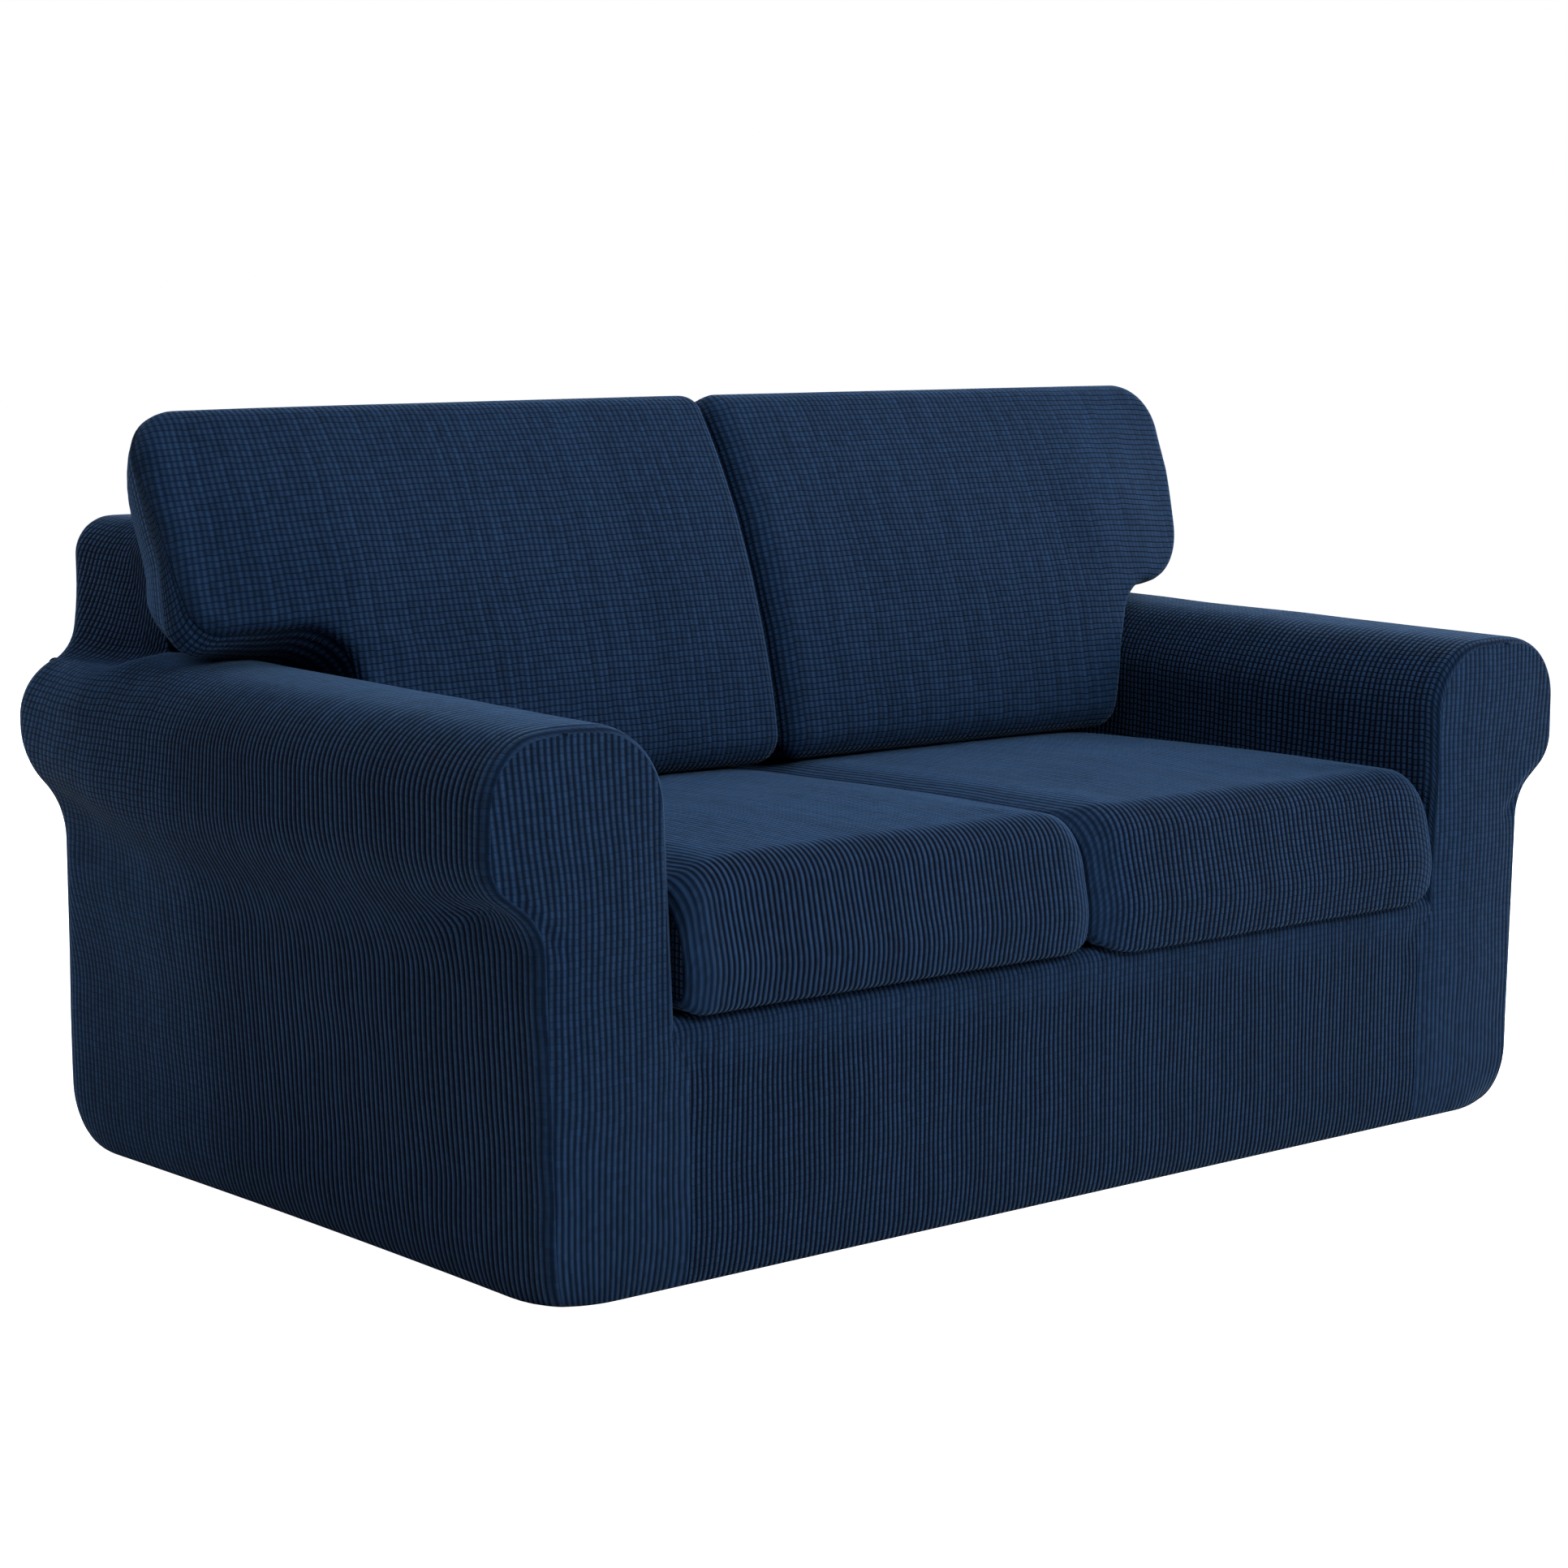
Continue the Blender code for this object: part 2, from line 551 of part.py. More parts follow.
def divisions(runs):
    """Shares at which the straight after each corner is divided. The top and the inner side are divided
    across from the points of the other sides, so that rows and columns of the face stay level."""
    foot = np.arange(1, FOOT_PARTS) / FOOT_PARTS
    straight = runs[0][-1, 0] + (runs[1][0, 0] - runs[0][-1, 0]) * foot
    over_x = np.concatenate([straight, runs[1][:2, 0], runs[3][2:, 0]])[::-1]
    top = (over_x - runs[6][-1][0]) / (runs[7][0][0] - runs[6][-1][0])
    beside = (runs[2], runs[3][:3], runs[4][3:], runs[5])
    rise = np.concatenate([run[:, 1] for run in beside])
    side = (rise[::-1] - runs[7][-1][1]) / (runs[0][0][1] - runs[7][-1][1])
    spread = [np.linspace(0, 1, len(top) + 2)[1:-1], np.linspace(0, 1, len(side) + 2)[1:-1]]
    mixed = [np.sort(own + EVENNESS * (even - own)) for own, even in zip((top, side), spread)]
    return [foot, (), (), (), (), (), *mixed]


def with_middles(runs, shares):
    """A closed line from one array for each corner, with the straights after them divided."""
    points = []
    for i, run in enumerate(runs):
        points.extend(run)
        start, end = run[-1], runs[(i + 1) % len(runs)][0]
        points.extend(start + (end - start) * share for share in shares[i])
    return np.array(points)


class Cushion:
    """The T's outline of one back cushion cover, from its corner table."""

    def __init__(self, corners):
        self.corners = corners
        self.shares = divisions(self.runs(self.column(5)))

    def column(self, index):
        return np.array([c[index] for c in self.corners], float)

    def runs(self, depths, insets=None, raised=0.0):
        """One array of points for each corner. Each corner is taken at its own depth and moved inwards by its
        own inset; raised lifts the foot."""
        x, front, rear = self.column(0), self.column(1), self.column(2)
        height = front + (rear - front) * depths / CUSHION_DEPTH
        places = np.stack([x, height], axis=1)
        if insets is not None:
            ways = np.roll(places, -1, axis=0) - places
            ways /= np.linalg.norm(ways, axis=1, keepdims=True)
            inward = np.stack([-ways[:, 1], ways[:, 0]], axis=1)
            total = inward + np.roll(inward, 1, axis=0)
            places = places + total * (2 * insets / (total**2).sum(1))[:, None]
        for low, above in ((0, 7), (1, 2)):
            rise = places[above] - places[low]
            places[low] = places[low] + rise * raised / rise[1]
        return rounded([(*p, c[3], c[4]) for p, c in zip(places, self.corners)], closed=True)

    def loop(self, depths, insets=None, raised=0.0):
        return with_middles(self.runs(depths, insets, raised), self.shares)

    def along(self, values):
        """One value for each point of the loop, from one for each corner."""
        return with_middles([np.full(c[4], float(v)) for c, v in zip(self.corners, values)], self.shares)

    def marks(self):
        """Indices of the loop's points in the middle of each corner."""
        counts = [c[4] for c in self.corners]
        starts = np.cumsum([0] + [count + len(s) for count, s in zip(counts, self.shares)])
        return [start + count // 2 for start, count in zip(starts, counts)]


def forward(flat):
    """How far the face stands in front of its plane: its belly and its crown."""
    x, height = flat[..., 0], flat[..., 1]

    def risen(distance):
        return 1 - (1 - np.clip(distance / CROWN_REACH, 0, 1)) ** 2

    ends = risen(x) * risen(CUSHION_TOP - height)
    body = ends * risen(height) * risen(CROWN_X[0] - x)
    wing = ends * risen(height - WING_FOOT) * risen(CROWN_X[1] - x)
    belly = np.clip(1 - (2 * height / CUSHION_TOP - 1) ** 2, 0, 1)
    belly = belly * (1 - smooth((x - BELLY_END[0]) / BELLY_END[1]))
    return CUSHION_BELLY * belly + CUSHION_CROWN * (1 - (1 - body) * (1 - wing))


def over_edge(flat, loop, radii):
    """Depth added near the face's edge, where the cloth turns back with the radius it has there."""
    along = np.roll(loop, -1, axis=0) - loop
    offset = flat[..., None, :] - loop
    share = np.clip((offset * along).sum(-1) / (along**2).sum(-1), 0, 1)
    distance = np.linalg.norm(offset - share[..., None] * along, axis=-1)
    radius = radii + (np.roll(radii, -1) - radii) * share
    nearest = distance.argmin(-1)[..., None]
    distance = np.take_along_axis(distance, nearest, -1)[..., 0]
    radius = np.take_along_axis(radius, nearest, -1)[..., 0]
    left = 1 - np.clip(distance / radius, 0, 1)
    return radius * (1 - np.sqrt(1 - left**2))


def patch(bottom, top, left, right):
    """Grid of points between four edges; bottom and top run to the right, left and right run up."""
    u = ((bottom[:, 0] - bottom[0, 0]) / (bottom[-1, 0] - bottom[0, 0]))[None, :, None]
    v = ((left[:, 1] - left[0, 1]) / (left[-1, 1] - left[0, 1]))[:, None, None]
    ruled = (1 - v) * bottom[None] + v * top[None] + (1 - u) * left[:, None] + u * right[:, None]
    return ruled - (1 - v) * ((1 - u) * bottom[0] + u * bottom[-1]) - v * ((1 - u) * top[0] + u * top[-1])


def face_grid(loop, marks):
    """Points (x, height) of the T-shaped face, in rows up from the foot, and the shape of the grid's missing
    corner below the wing. All its edges are points of the loop."""
    foot_in, foot_out, _, neck, low, _, high, top_in = marks
    closing = np.concatenate([loop[top_in:], loop[: foot_in + 1]])[::-1]
    above = len(loop[low : high + 1])
    beside = len(loop[neck : low + 1])
    split = high + beside - 1
    divider = loop[neck] + (loop[split] - loop[neck]) * (
        (loop[low : high + 1, 1] - loop[low, 1]) / (loop[high, 1] - loop[low, 1])
    ).reshape(-1, 1)
    body = patch(
        loop[foot_in : foot_out + 1],
        loop[split : top_in + 1][::-1],
        closing,
        np.concatenate([loop[foot_out:neck], divider]),
    )
    wing = patch(loop[neck : low + 1], loop[high : split + 1][::-1], divider, loop[low : high + 1])
    below = len(body) - above
    blank = np.repeat(wing[:1, 1:], below, axis=0)
    return np.concatenate([body, np.concatenate([blank, wing[:, 1:]])], axis=1), (below, body.shape[1] - 1)


def make_face(name, cushion, side):
    """The T-shaped face, which turns back over its edges to the boxing's seam."""
    radii = cushion.column(5)
    loop = cushion.loop(radii)
    flat, (below, beside) = face_grid(loop, cushion.marks())
    depth = over_edge(flat, loop, cushion.along(radii)) - forward(flat)
    outer = np.concatenate([flat, depth[..., None]], axis=-1)
    across = np.gradient(outer, axis=1)
    up = np.gradient(outer, axis=0)
    across[:below, beside] = outer[:below, beside] - outer[:below, beside - 1]
    up[below, beside + 1 :] = outer[below + 1, beside + 1 :] - outer[below, beside + 1 :]
    normals = np.cross(up, across)
    normals /= np.maximum(np.linalg.norm(normals, axis=-1, keepdims=True), TOUCHING**2)
    out = -outward(loop, closed=True)
    gaps = np.linalg.norm(flat[..., None, :] - loop, axis=-1)
    for r, c in np.argwhere(gaps.min(-1) < TOUCHING):
        normals[r, c] = (*out[gaps[r, c].argmin()], 0)
        outer[r, c, 2] -= GAP
    inner = outer - SHEET * normals

    def kept(row, column):
        return row >= below or column < beside

    grid_sheet(name, in_place(outer, side), in_place(inner, side), kept=kept)


def make_boxing(name, cushion, side):
    """The strip sewn round a back cushion cover, from the face's seam to the rear seam."""
    rim, edge_depth, edge_inset, bulge = (cushion.column(k) for k in (5, 6, 7, 8))
    flat_end = CUSHION_DEPTH - edge_depth
    slant = math.sqrt(0.5)
    stations = (
        # depth, inset, tilt of the normal, share of the face's bow
        (rim, 0 * rim, 0.0, 1.0),
        (rim + 0.5 * (flat_end - rim), -bulge, 0.0, 0.5),
        (flat_end, -0.6 * bulge, 0.0, 0.0),
        (CUSHION_DEPTH - edge_depth * (1 - slant), edge_inset * (1 - slant) - 0.2 * bulge, slant, 0.0),
        (CUSHION_DEPTH + 0 * rim, edge_inset, 1.0, 0.0),
    )
    bow = forward(cushion.loop(rim))
    outer, inner = [], []
    for depth, inset, tilt, bowed in stations:
        loop = cushion.loop(depth, inset)
        level = math.sqrt(1 - tilt**2)
        normals = np.concatenate([-outward(loop, closed=True) * level, np.full((len(loop), 1), tilt)], axis=1)
        ring = np.concatenate([loop, (cushion.along(depth) - bowed * bow)[:, None]], axis=1)
        outer.append(in_place(ring, side))
        inner.append(in_place(ring - SHEET * normals, side))
    grid_sheet(name, np.array(outer), np.array(inner), closed=True)


def make_rear(name, cushion, side):
    """Rear panel of a back cushion cover, which ends above its foot and leaves the opening."""
    depth = np.full(len(cushion.corners), CUSHION_DEPTH)
    loop = cushion.loop(depth, cushion.column(7) + GAP, REAR_SLOT)
    depths = (CUSHION_DEPTH, CUSHION_DEPTH - SHEET)
    rings = [np.concatenate([loop, np.full((len(loop), 1), w)], axis=1) for w in depths]
    triangles = tessellate_polygon([[Vector((*p, 0)) for p in loop]])
    closed_sheet(name, *(in_place(ring, side) for ring in rings), [tuple(t) for t in triangles])


def main():
    for old in list(bpy.data.objects):
        bpy.data.objects.remove(old, do_unlink=True)
    strip_sheet("seat_deck_apron", platform_rows(), 9, pulled)
    strip_sheet("inside_back", inside_back_rows(), 7)
    make_outside_back()
    for label, side in (("left", -1), ("right", 1)):
        make_arm("arm_" + label, side)
        make_arm_front("arm_front_" + label, side)
        make_ear("back_end_" + label, side)
        make_seat("seat_" + label, side)
        cushion = Cushion(CUSHIONS[label])
        make_face("back_face_" + label, cushion, side)
        make_boxing("back_boxing_" + label, cushion, side)
        make_rear("back_rear_" + label, cushion, side)


main()
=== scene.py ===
"""Stretch slipcover set for a two-seat sofa with rolled arms, in navy ribbed knit.

Every panel is a thin sheet of cloth close to its CAD solid's surface, at a finer spacing and with its seams,
creases and small unevenness. Each sheet's UV map is its flat cut in metres: U runs across the knit's ribs and
V along them. Metres, x to the right, y to the back, z up, the floor at z = 0."""

import math

import bpy
import numpy as np
from bpy.props import FloatProperty, FloatVectorProperty, PointerProperty, StringProperty
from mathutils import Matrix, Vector


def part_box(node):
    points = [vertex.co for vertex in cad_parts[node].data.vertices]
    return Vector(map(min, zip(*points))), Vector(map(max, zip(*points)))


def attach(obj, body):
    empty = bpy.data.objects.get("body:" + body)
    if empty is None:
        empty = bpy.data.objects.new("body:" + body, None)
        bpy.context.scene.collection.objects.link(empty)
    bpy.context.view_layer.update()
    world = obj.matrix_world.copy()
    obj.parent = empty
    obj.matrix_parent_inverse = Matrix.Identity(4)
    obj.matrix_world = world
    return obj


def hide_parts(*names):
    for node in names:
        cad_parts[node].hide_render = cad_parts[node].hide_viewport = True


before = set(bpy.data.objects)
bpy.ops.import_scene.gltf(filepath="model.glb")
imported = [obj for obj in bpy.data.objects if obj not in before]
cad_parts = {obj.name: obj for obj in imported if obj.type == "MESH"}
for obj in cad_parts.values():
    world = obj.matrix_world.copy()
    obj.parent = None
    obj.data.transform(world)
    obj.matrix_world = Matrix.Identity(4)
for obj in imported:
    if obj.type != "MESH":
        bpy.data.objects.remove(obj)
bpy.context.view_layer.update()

bl_info = {
    "name": "Sofa slipcover",
    "version": (1, 0, 0),
    "blender": (4, 5, 0),
    "location": "3D View > Sidebar > Slipcover",
    "description": "Builds a ribbed stretch-knit cover set for a two-seat sofa",
    "category": "Add Mesh",
}

SIDES = (("left", -1), ("right", 1))
GAP = 0.0003  # between two panels at a seam
CLEAR = 0.0005  # between two covers that lie on each other

# Base cover, outside of the cloth
ARM_FOOT_X = 0.596  # inner face of an arm where it meets the platform
ARM_INNER_X = 0.611  # the same face at the roll
ARM_MIDDLE_X = 0.690  # a place well inside the arm
ARM_SEAM = 0.15  # share of the full seam depth that its seams have
INNER_DROP = 0.008  # how much lower the roll is at its inner side
OUTER_DROP = 0.014  # how much lower it is at its outer side
INNER_ROUND = 0.083  # reach of the roll's bend at its inner side
OUTER_ROUND = 0.068  # the same at its outer side
ROUND_LOSS = (0.3, 0.4)  # what that loses where the roll is smaller and where the crease lies further out
ROLL_LOW_Z = 0.446  # where the roll turns in under itself
UNDER_ROUND = (0.20, 0.028, 0.040)  # run from the arm's front over which its bend's reach grows, from and to
TUCK = (0.771, 0.398)  # x and z below the roll, where the outer side begins
TUCK_MIDDLE = (0.006, -0.034)  # how much further out and lower that is between the arm's front and its rear
TUCK_RUNS = (0.25, 0.35)  # over what run from the front and from the rear it gets there
ARM_CELLS = (18, 22)  # divisions up the inner face and down the outer side
BEND_POINTS = (15, 7, 15, 9, 9)  # points in each bend of an arm's section, from its inner side
HEM_X = 0.759  # half width just above the hem
SIDE_FLARE = 0.0025  # how much wider the outer sides are at the top of the hem
APRON_BEND = 0.020  # radius of the cloth over the platform's front edge
APRON_X = 0.580  # seam between the apron and an arm's front panel
APRON_SEAM = 0.10  # share of the full seam depth there
SEAM_STEP = (0.018, 0.050)  # below the platform's bend, where that seam turns out to the arm
SEAM_STEP_X = 0.008  # how far out it is at the upper of those two heights
SEAM_STEP_CELLS = (14, 16, 9)  # divisions below that step, along it and above it
PLATFORM_EDGE_Y = -0.470  # the last row of the platform behind its bend
FRONT_PROUD = 0.004  # how far an arm's front panel stands proud in its middle
PROUD_HEIGHTS = ((0.0, 0.15), (0.51, 0.10, 1.0, 0.0))  # where that comes in and where it goes out again
EAR_X = 0.737  # end face of the back above an arm, called its ear here
TOP_SEAM_X = 0.660  # seam on top of the back, between its middle and its ends
TOP_FOLD = 0.003  # depth of the fold along the top of the inside back
EAR_EASE = 0.005  # how far the top seam's front end stands back from that fold
EAR_ROUND = 0.047  # reach of the round over the back's end
CREASE_RISE = 0.016  # how far the arm's top climbs from its front to the crease at the back's end
FILLET = (0.034, -0.020)  # how far out and up the crease lies at the rear, where its corner is rounded
FILLET_SHARE = 0.25  # over what share of the back's depth it gets there
EAR_FLARE = (0.010, 0.070)  # how far out the ear's foot stands there, and how high above the crease that ends
EAR_FOOT_RISE = 0.002  # how much higher than the crease it is at least
EAR_FOOT_ROUND = 0.95  # share of the way to the crease that its bend takes up
EAR_FLARE_ROUND = 0.030  # reach of the bend where the flare ends
CREASE_REACH = (0.12, 0.0001, 0.0301)  # run in front of the back over which its bend grows, from and to
REAR_SMALLER = 0.018  # how much smaller the roll is at the rear
REAR_DROP = 1.5  # how many times as much lower its outer side is there
# at the rear, how much higher the roll turns in, and how much higher and further in its tuck is
REAR_LOW = (0.034, 0.018, 0.010)
REAR_LOW_Y = 0.05  # where those begin
FRONT_EDGE = (APRON_BEND, 0.008)  # soft edge of the arm fronts: its depth along y and its inset
BACK_EDGE = (0.042, 0.027)  # the same round the back
HEM_TOP = 0.110  # height where the outer sides begin to run straight up
HEM_ROWS = HEM_TOP * np.linspace(1, 0, 18) ** 2  # heights of the rows near the floor
HEM_HEIGHT = 0.075  # over which the elastic in the hem draws the cloth in
HEM_IN_MIDDLE = 0.009  # how much further it draws in the middle of a side
SIDE_FADE = 0.15  # how far round a corner a side's pull is felt
CORNER_IN = {"front": 0.022, "back": 0.026}  # how much further the hem is drawn in at its corners
CORNER_SPREAD = 4.0  # a corner is drawn in over this many times its pull

# Seat cushion covers
SEAT_X = (0.0015, 0.5900)  # inner and outer side of one cover
SEAT_FINE = 0.15  # how far in from a side its sections lie closer together
SEAT_TOP_Y = -0.25  # where the length along the cloth is counted from
SEAT_SIDE_REACH = 0.036  # how much rounder the front's upper edge is at the sides
SEAT_INSETS = (0.016, 0.014)  # of the parts under the front and at the rear, at a side
SEAT_HANG = {"left": 0.002, "right": 0.014}  # how much lower the front hangs over the platform's edge
SEAT_REAR_Z = 0.443  # upper edge at the rear
SEAT_REAR_CLEAR = 0.006  # between the rear and the inside back's plane
SEAT_SIDES = {
    # ((width, inset) of the front's soft edge, (width, drop) of the top's) at the inner and at the outer side
    "left": (((0.050, 0.024), (0.090, 0.010)), ((0.030, 0.016), (0.120, 0.024))),
    "right": (((0.075, 0.028), (0.060, 0.010)), ((0.060, 0.012), (0.100, 0.008))),
}

# Back cushion covers, in their own leaning plane: x, height up the plane and depth behind it
LEAN = math.radians(20.5)
FACE_FOOT_Y = 0.0315  # foot of the face, where x, height and depth are all measured from
FACE_FOOT_Z = 0.4495
CUSHION_DEPTH = 0.165  # from the face to the rear panel
CUSHION_TOP = 0.491  # length of the face up its plane
CUSHION_CROWN = 0.008  # how much fuller the face is away from its seam
CROWN_REACH = 0.15  # over what distance from the seam
CROWN_X = (0.62, 0.81)  # outer side of the T's body and of its wing
WING_FOOT = 0.21  # height of the wing's underside
BELLY_END = (0.58, 0.24, 1.0, 0.0)  # where the belly begins to flatten out along x, and over what run
REAR_SLOT = 0.030  # how much higher the rear panel's foot is
EDGE_POWER = 0.6  # how early the boxing turns in towards the rear, 1 being an ellipse
BOXING_SEAM = 0.6  # share of the full seam depth at the boxing's seams
BULGE_SPAN = 0.8  # the boxing's bulge is a sine over this share of half a turn
BULGE_LEFT = 0.59  # what is left of it where the rear edge starts
CUSHIONS = {
    # x, height at the face, height at the rear, reach of its bend, radius over the face's edge,
    # depth and inset of the rear edge, bulge of the boxing
    "left": (
        (0.003, 0.000, 0.062, 0.030, 0.028, 0.030, 0.036, 0.000),
        (0.586, 0.000, 0.062, 0.045, 0.028, 0.030, 0.020, 0.000),
        (0.603, 0.095, 0.170, 0.010, 0.016, 0.030, 0.020, 0.000),
        (0.622, 0.211, 0.244, 0.050, 0.012, 0.030, 0.014, 0.022),
        (0.792, 0.214, 0.242, 0.036, 0.014, 0.110, 0.055, 0.020),
        (0.806, 0.330, 0.330, 0.018, 0.015, 0.130, 0.078, 0.002),
        (0.821, CUSHION_TOP - 0.008, CUSHION_TOP - 0.008, 0.060, 0.022, 0.135, 0.085, 0.000),
        (0.003, CUSHION_TOP, CUSHION_TOP, 0.026, 0.028, 0.120, 0.036, 0.000),
    ),
    "right": (
        (0.003, 0.000, 0.062, 0.030, 0.028, 0.030, 0.036, 0.000),
        (0.588, 0.000, 0.062, 0.028, 0.028, 0.030, 0.020, 0.000),
        (0.605, 0.095, 0.170, 0.010, 0.016, 0.030, 0.020, 0.000),
        (0.644, 0.190, 0.245, 0.044, 0.012, 0.030, 0.014, 0.006),
        (0.772, 0.204, 0.240, 0.074, 0.012, 0.075, 0.030, 0.010),
        (0.797, 0.340, 0.340, 0.018, 0.012, 0.125, 0.050, 0.004),
        (0.818, CUSHION_TOP, CUSHION_TOP, 0.080, 0.022, 0.135, 0.055, 0.002),
        (0.003, CUSHION_TOP, CUSHION_TOP, 0.026, 0.028, 0.120, 0.036, 0.000),
    ),
}

# Rows of points along each part of a panel
ROWS = {
    "arm_edge": 7,
    "rear_edge": 8,
    "arm_beside_seat": 34,
    "arm_beside_back": 16,
    "arm_front": 100,
    "platform": 24,
    "platform_edge": 10,
    "apron_step": 26,
    "apron": 16,
    "back_top": 14,
    "seat_end": 24,
    "seat": 22,
    "seat_side": 70,
    "boxing": 12,
}
SEAM_PACKING = 0.6  # how much closer together a panel's divisions are at its seams
NECK_PACKING = 0.3  # the same up the sides of a back cushion's body
# Divisions across each panel
CELLS = {"arm_front": 30, "apron": 110, "inside_back": 90, "outside_back": 100, "seat_side": 14}

# Spacing of the ribs where the knit is stretched over the sofa
PITCH = {
    "arm": 0.0090,
    "back_end": 0.0078,
    "arm_front": 0.0075,
    "apron": 0.0070,
    "inside_back": 0.0078,
    "outside_back": 0.0078,
    "seat_left": 0.0074,
    "seat_right": 0.0079,
    "cushion_left": 0.0078,
    "cushion_right": 0.0084,
    "boxing": 0.0078,
}
FRONT_FAN = 0.018  # how far the outermost ribs of an arm's front lean in, from the roll's top to below it
FAN_HEIGHT = (0.40, 0.20, 1.0, 0.0)  # the height where that goes out
FAN_X = (0.60, 0.15)  # where it begins, and over what width it grows
RIB_LEAN = (-0.20, 0.60, 0.0, 0.12)  # where an arm's ribs begin to lean forward along y, and how far they do
LEAN_HEIGHT = (0.30, 0.30)  # along the cloth from the hem, where that comes in
EAR_LEAN = 0.45  # lean of the ribs on the back's ends, as run over height
REAR_STRETCH = (0.45, 0.30, 0.22)  # where an arm's cloth begins to stretch more, over what run, by what share
STRETCH_HEIGHT = (0.20, 0.22)  # along the cloth from the hem, where that comes in
STRETCH_ALONG = 1.04  # how much longer the cloth is along its ribs than it was cut

# How strongly the rows and the ribs show, from 0 to 1. A fade is (where it starts, over what run,
# share before it, share after it).
ARM_ROWS = ((-0.05, 0.30, 0.25, 0.85), (0.35, 0.10, 0.50, 1.00))  # along y and up z, on the left arm
ARM_RIBS = ((0.0, 0.035, 0.60, 1.00), (0.0, 0.35, 1.00, 0.45))  # along y, from the arm's front and from y = 0
ARM_FRONT_ROWS = (0.05, 0.30, 0.00, 0.35)  # up z
ARM_FRONT_RIBS = {"left": 0.76, "right": 0.62}
APRON_ROWS = 0.30
APRON_RIBS = (0.22, 0.04, 1.00, 0.70)  # up z
SEAT_ROWS = (-0.75, 1.6667, 0.00, 0.75)  # along x
SEAT_RIBS = (0.0, 0.06, 0.45, 1.00)  # in from a seat's sides
FACE_ROWS = (0.35, 0.40, 0.62, 0.82)  # along x
FACE_RIBS = (0.35, 0.40, 0.42, 0.12)
BOXING_RIBS = 0.55

# How the cloth lies near a sheet's border and near the floor
PLAIN_SEAM = 0.3  # share of the full seam depth, where a panel has none of its own
EDGE_CALM = 0.04  # distance from a seam over which its unevenness comes in
CREASE_CALM = 0.012  # the same for its creases
FLOOR_CALM = (-0.005, 0.05)  # height over which both come in
CREASE_END = 0.08  # how far along its sine a crease starts and ends
BATCH = 64  # border points measured at a time, which keeps the memory small
SHARP_ANGLE = math.radians(50)  # sharper edges of a sheet are shaded as edges
UNEVEN_WAVES = (0.30, 0.22, 0.16, 0.13, 0.10)  # lengths of the waves in it
SEED = 7  # of the directions and places of those waves
UNEVEN_SPAN = 1.1  # brings their sum to about -1 to 1


# ------------------------------------------------------------------ properties


def length_property(name, description, default):
    return FloatProperty(name=name, description=description, default=default, unit="LENGTH", precision=4)


class SlipcoverBase(bpy.types.PropertyGroup):
    """Main sizes of the base cover, from the frame."""

    front: length_property("Front", "Plane of the apron and the arm fronts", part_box("arm_front_left")[0].y)
    back: length_property("Back", "Plane of the outside back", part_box("outside_back")[1].y)
    deck: length_property("Platform height", "Top of the seat platform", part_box("seat_deck_apron")[1].z)
    arm_top: length_property("Arm height", "Top of the arm rolls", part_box("arm_right")[1].z - CREASE_RISE)
    roll: length_property("Half width", "Widest point of a roll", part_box("arm_right")[1].x)
    back_top: length_property("Back height", "Top of the back above the arms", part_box("inside_back")[1].z)
    hem_pull: length_property("Hem pull", "How far the elastic draws every side in", 0.012)


class SlipcoverCushions(bpy.types.PropertyGroup):
    """How full the seat and back cushions hold their covers."""

    seat_crown: length_property("Seat crown", "Rise of a seat's top in its middle", 0.007)
    belly: length_property("Back belly", "How far a back cushion bows forward at half its height", 0.030)


class SlipcoverCloth(bpy.types.PropertyGroup):
    """The knit, its seams and how evenly it lies."""

    thickness: length_property("Thickness", "Thickness of the knit", 0.002)
    seam_depth: length_property("Seam depth", "How deep a seam draws the cloth in", 0.0012)
    seam_width: length_property("Seam width", "How far from a seam the cloth is drawn in", 0.004)
    uneven: length_property("Unevenness", "How far the cloth lies from a smooth surface", 0.0009)
    rib: length_property("Rib spacing", "Spacing of the ribs before stretching", 0.0070)
    row: length_property("Row spacing", "Spacing of the rows across the ribs", 0.0072)
    relief: length_property("Rib height", "Height of a rib over the valley beside it", 0.0024)
    # crest and valley colours: the valleys' near black is partly the knit's own darker tone and partly
    # painted shade between the ribs
    crest: StringProperty(name="Crest colour", description="sRGB hex colour of the ribs", default="#213a5a")
    valley: StringProperty(name="Valley colour", description="sRGB hex between the ribs", default="#000a20")


class SlipcoverStudio(bpy.types.PropertyGroup):
    """Floor, light and camera."""

    floor: StringProperty(name="Floor colour", description="sRGB hex colour of the floor", default="#f4f4f4")
    lens: FloatProperty(name="Lens", description="Focal length", default=81.0, unit="CAMERA")
    place: FloatVectorProperty(
        name="Camera", description="Where it stands", default=(-2.81014, -3.28136, 1.01481), subtype="XYZ"
    )
    turn: FloatProperty(
        name="Turn", description="From the y axis to the right", default=math.radians(40.189), subtype="ANGLE"
    )
    tilt: FloatProperty(
        name="Tilt", description="Below the horizon", default=math.radians(7.7372), subtype="ANGLE"
    )


# ------------------------------------------------------------------ lines and grids


def smooth(value):
    """0 below 0, 1 above 1, with a smooth rise between."""
    value = np.clip(value, 0.0, 1.0)
    return value * value * (3 - 2 * value)


def fade(value, start, run, before=0.0, after=1.0):
    """`before` up to the start and `after` from one run beyond it, with a smooth change between."""
    return before + (after - before) * smooth((value - start) / run)


def unit(vector):
    return vector / np.linalg.norm(vector)


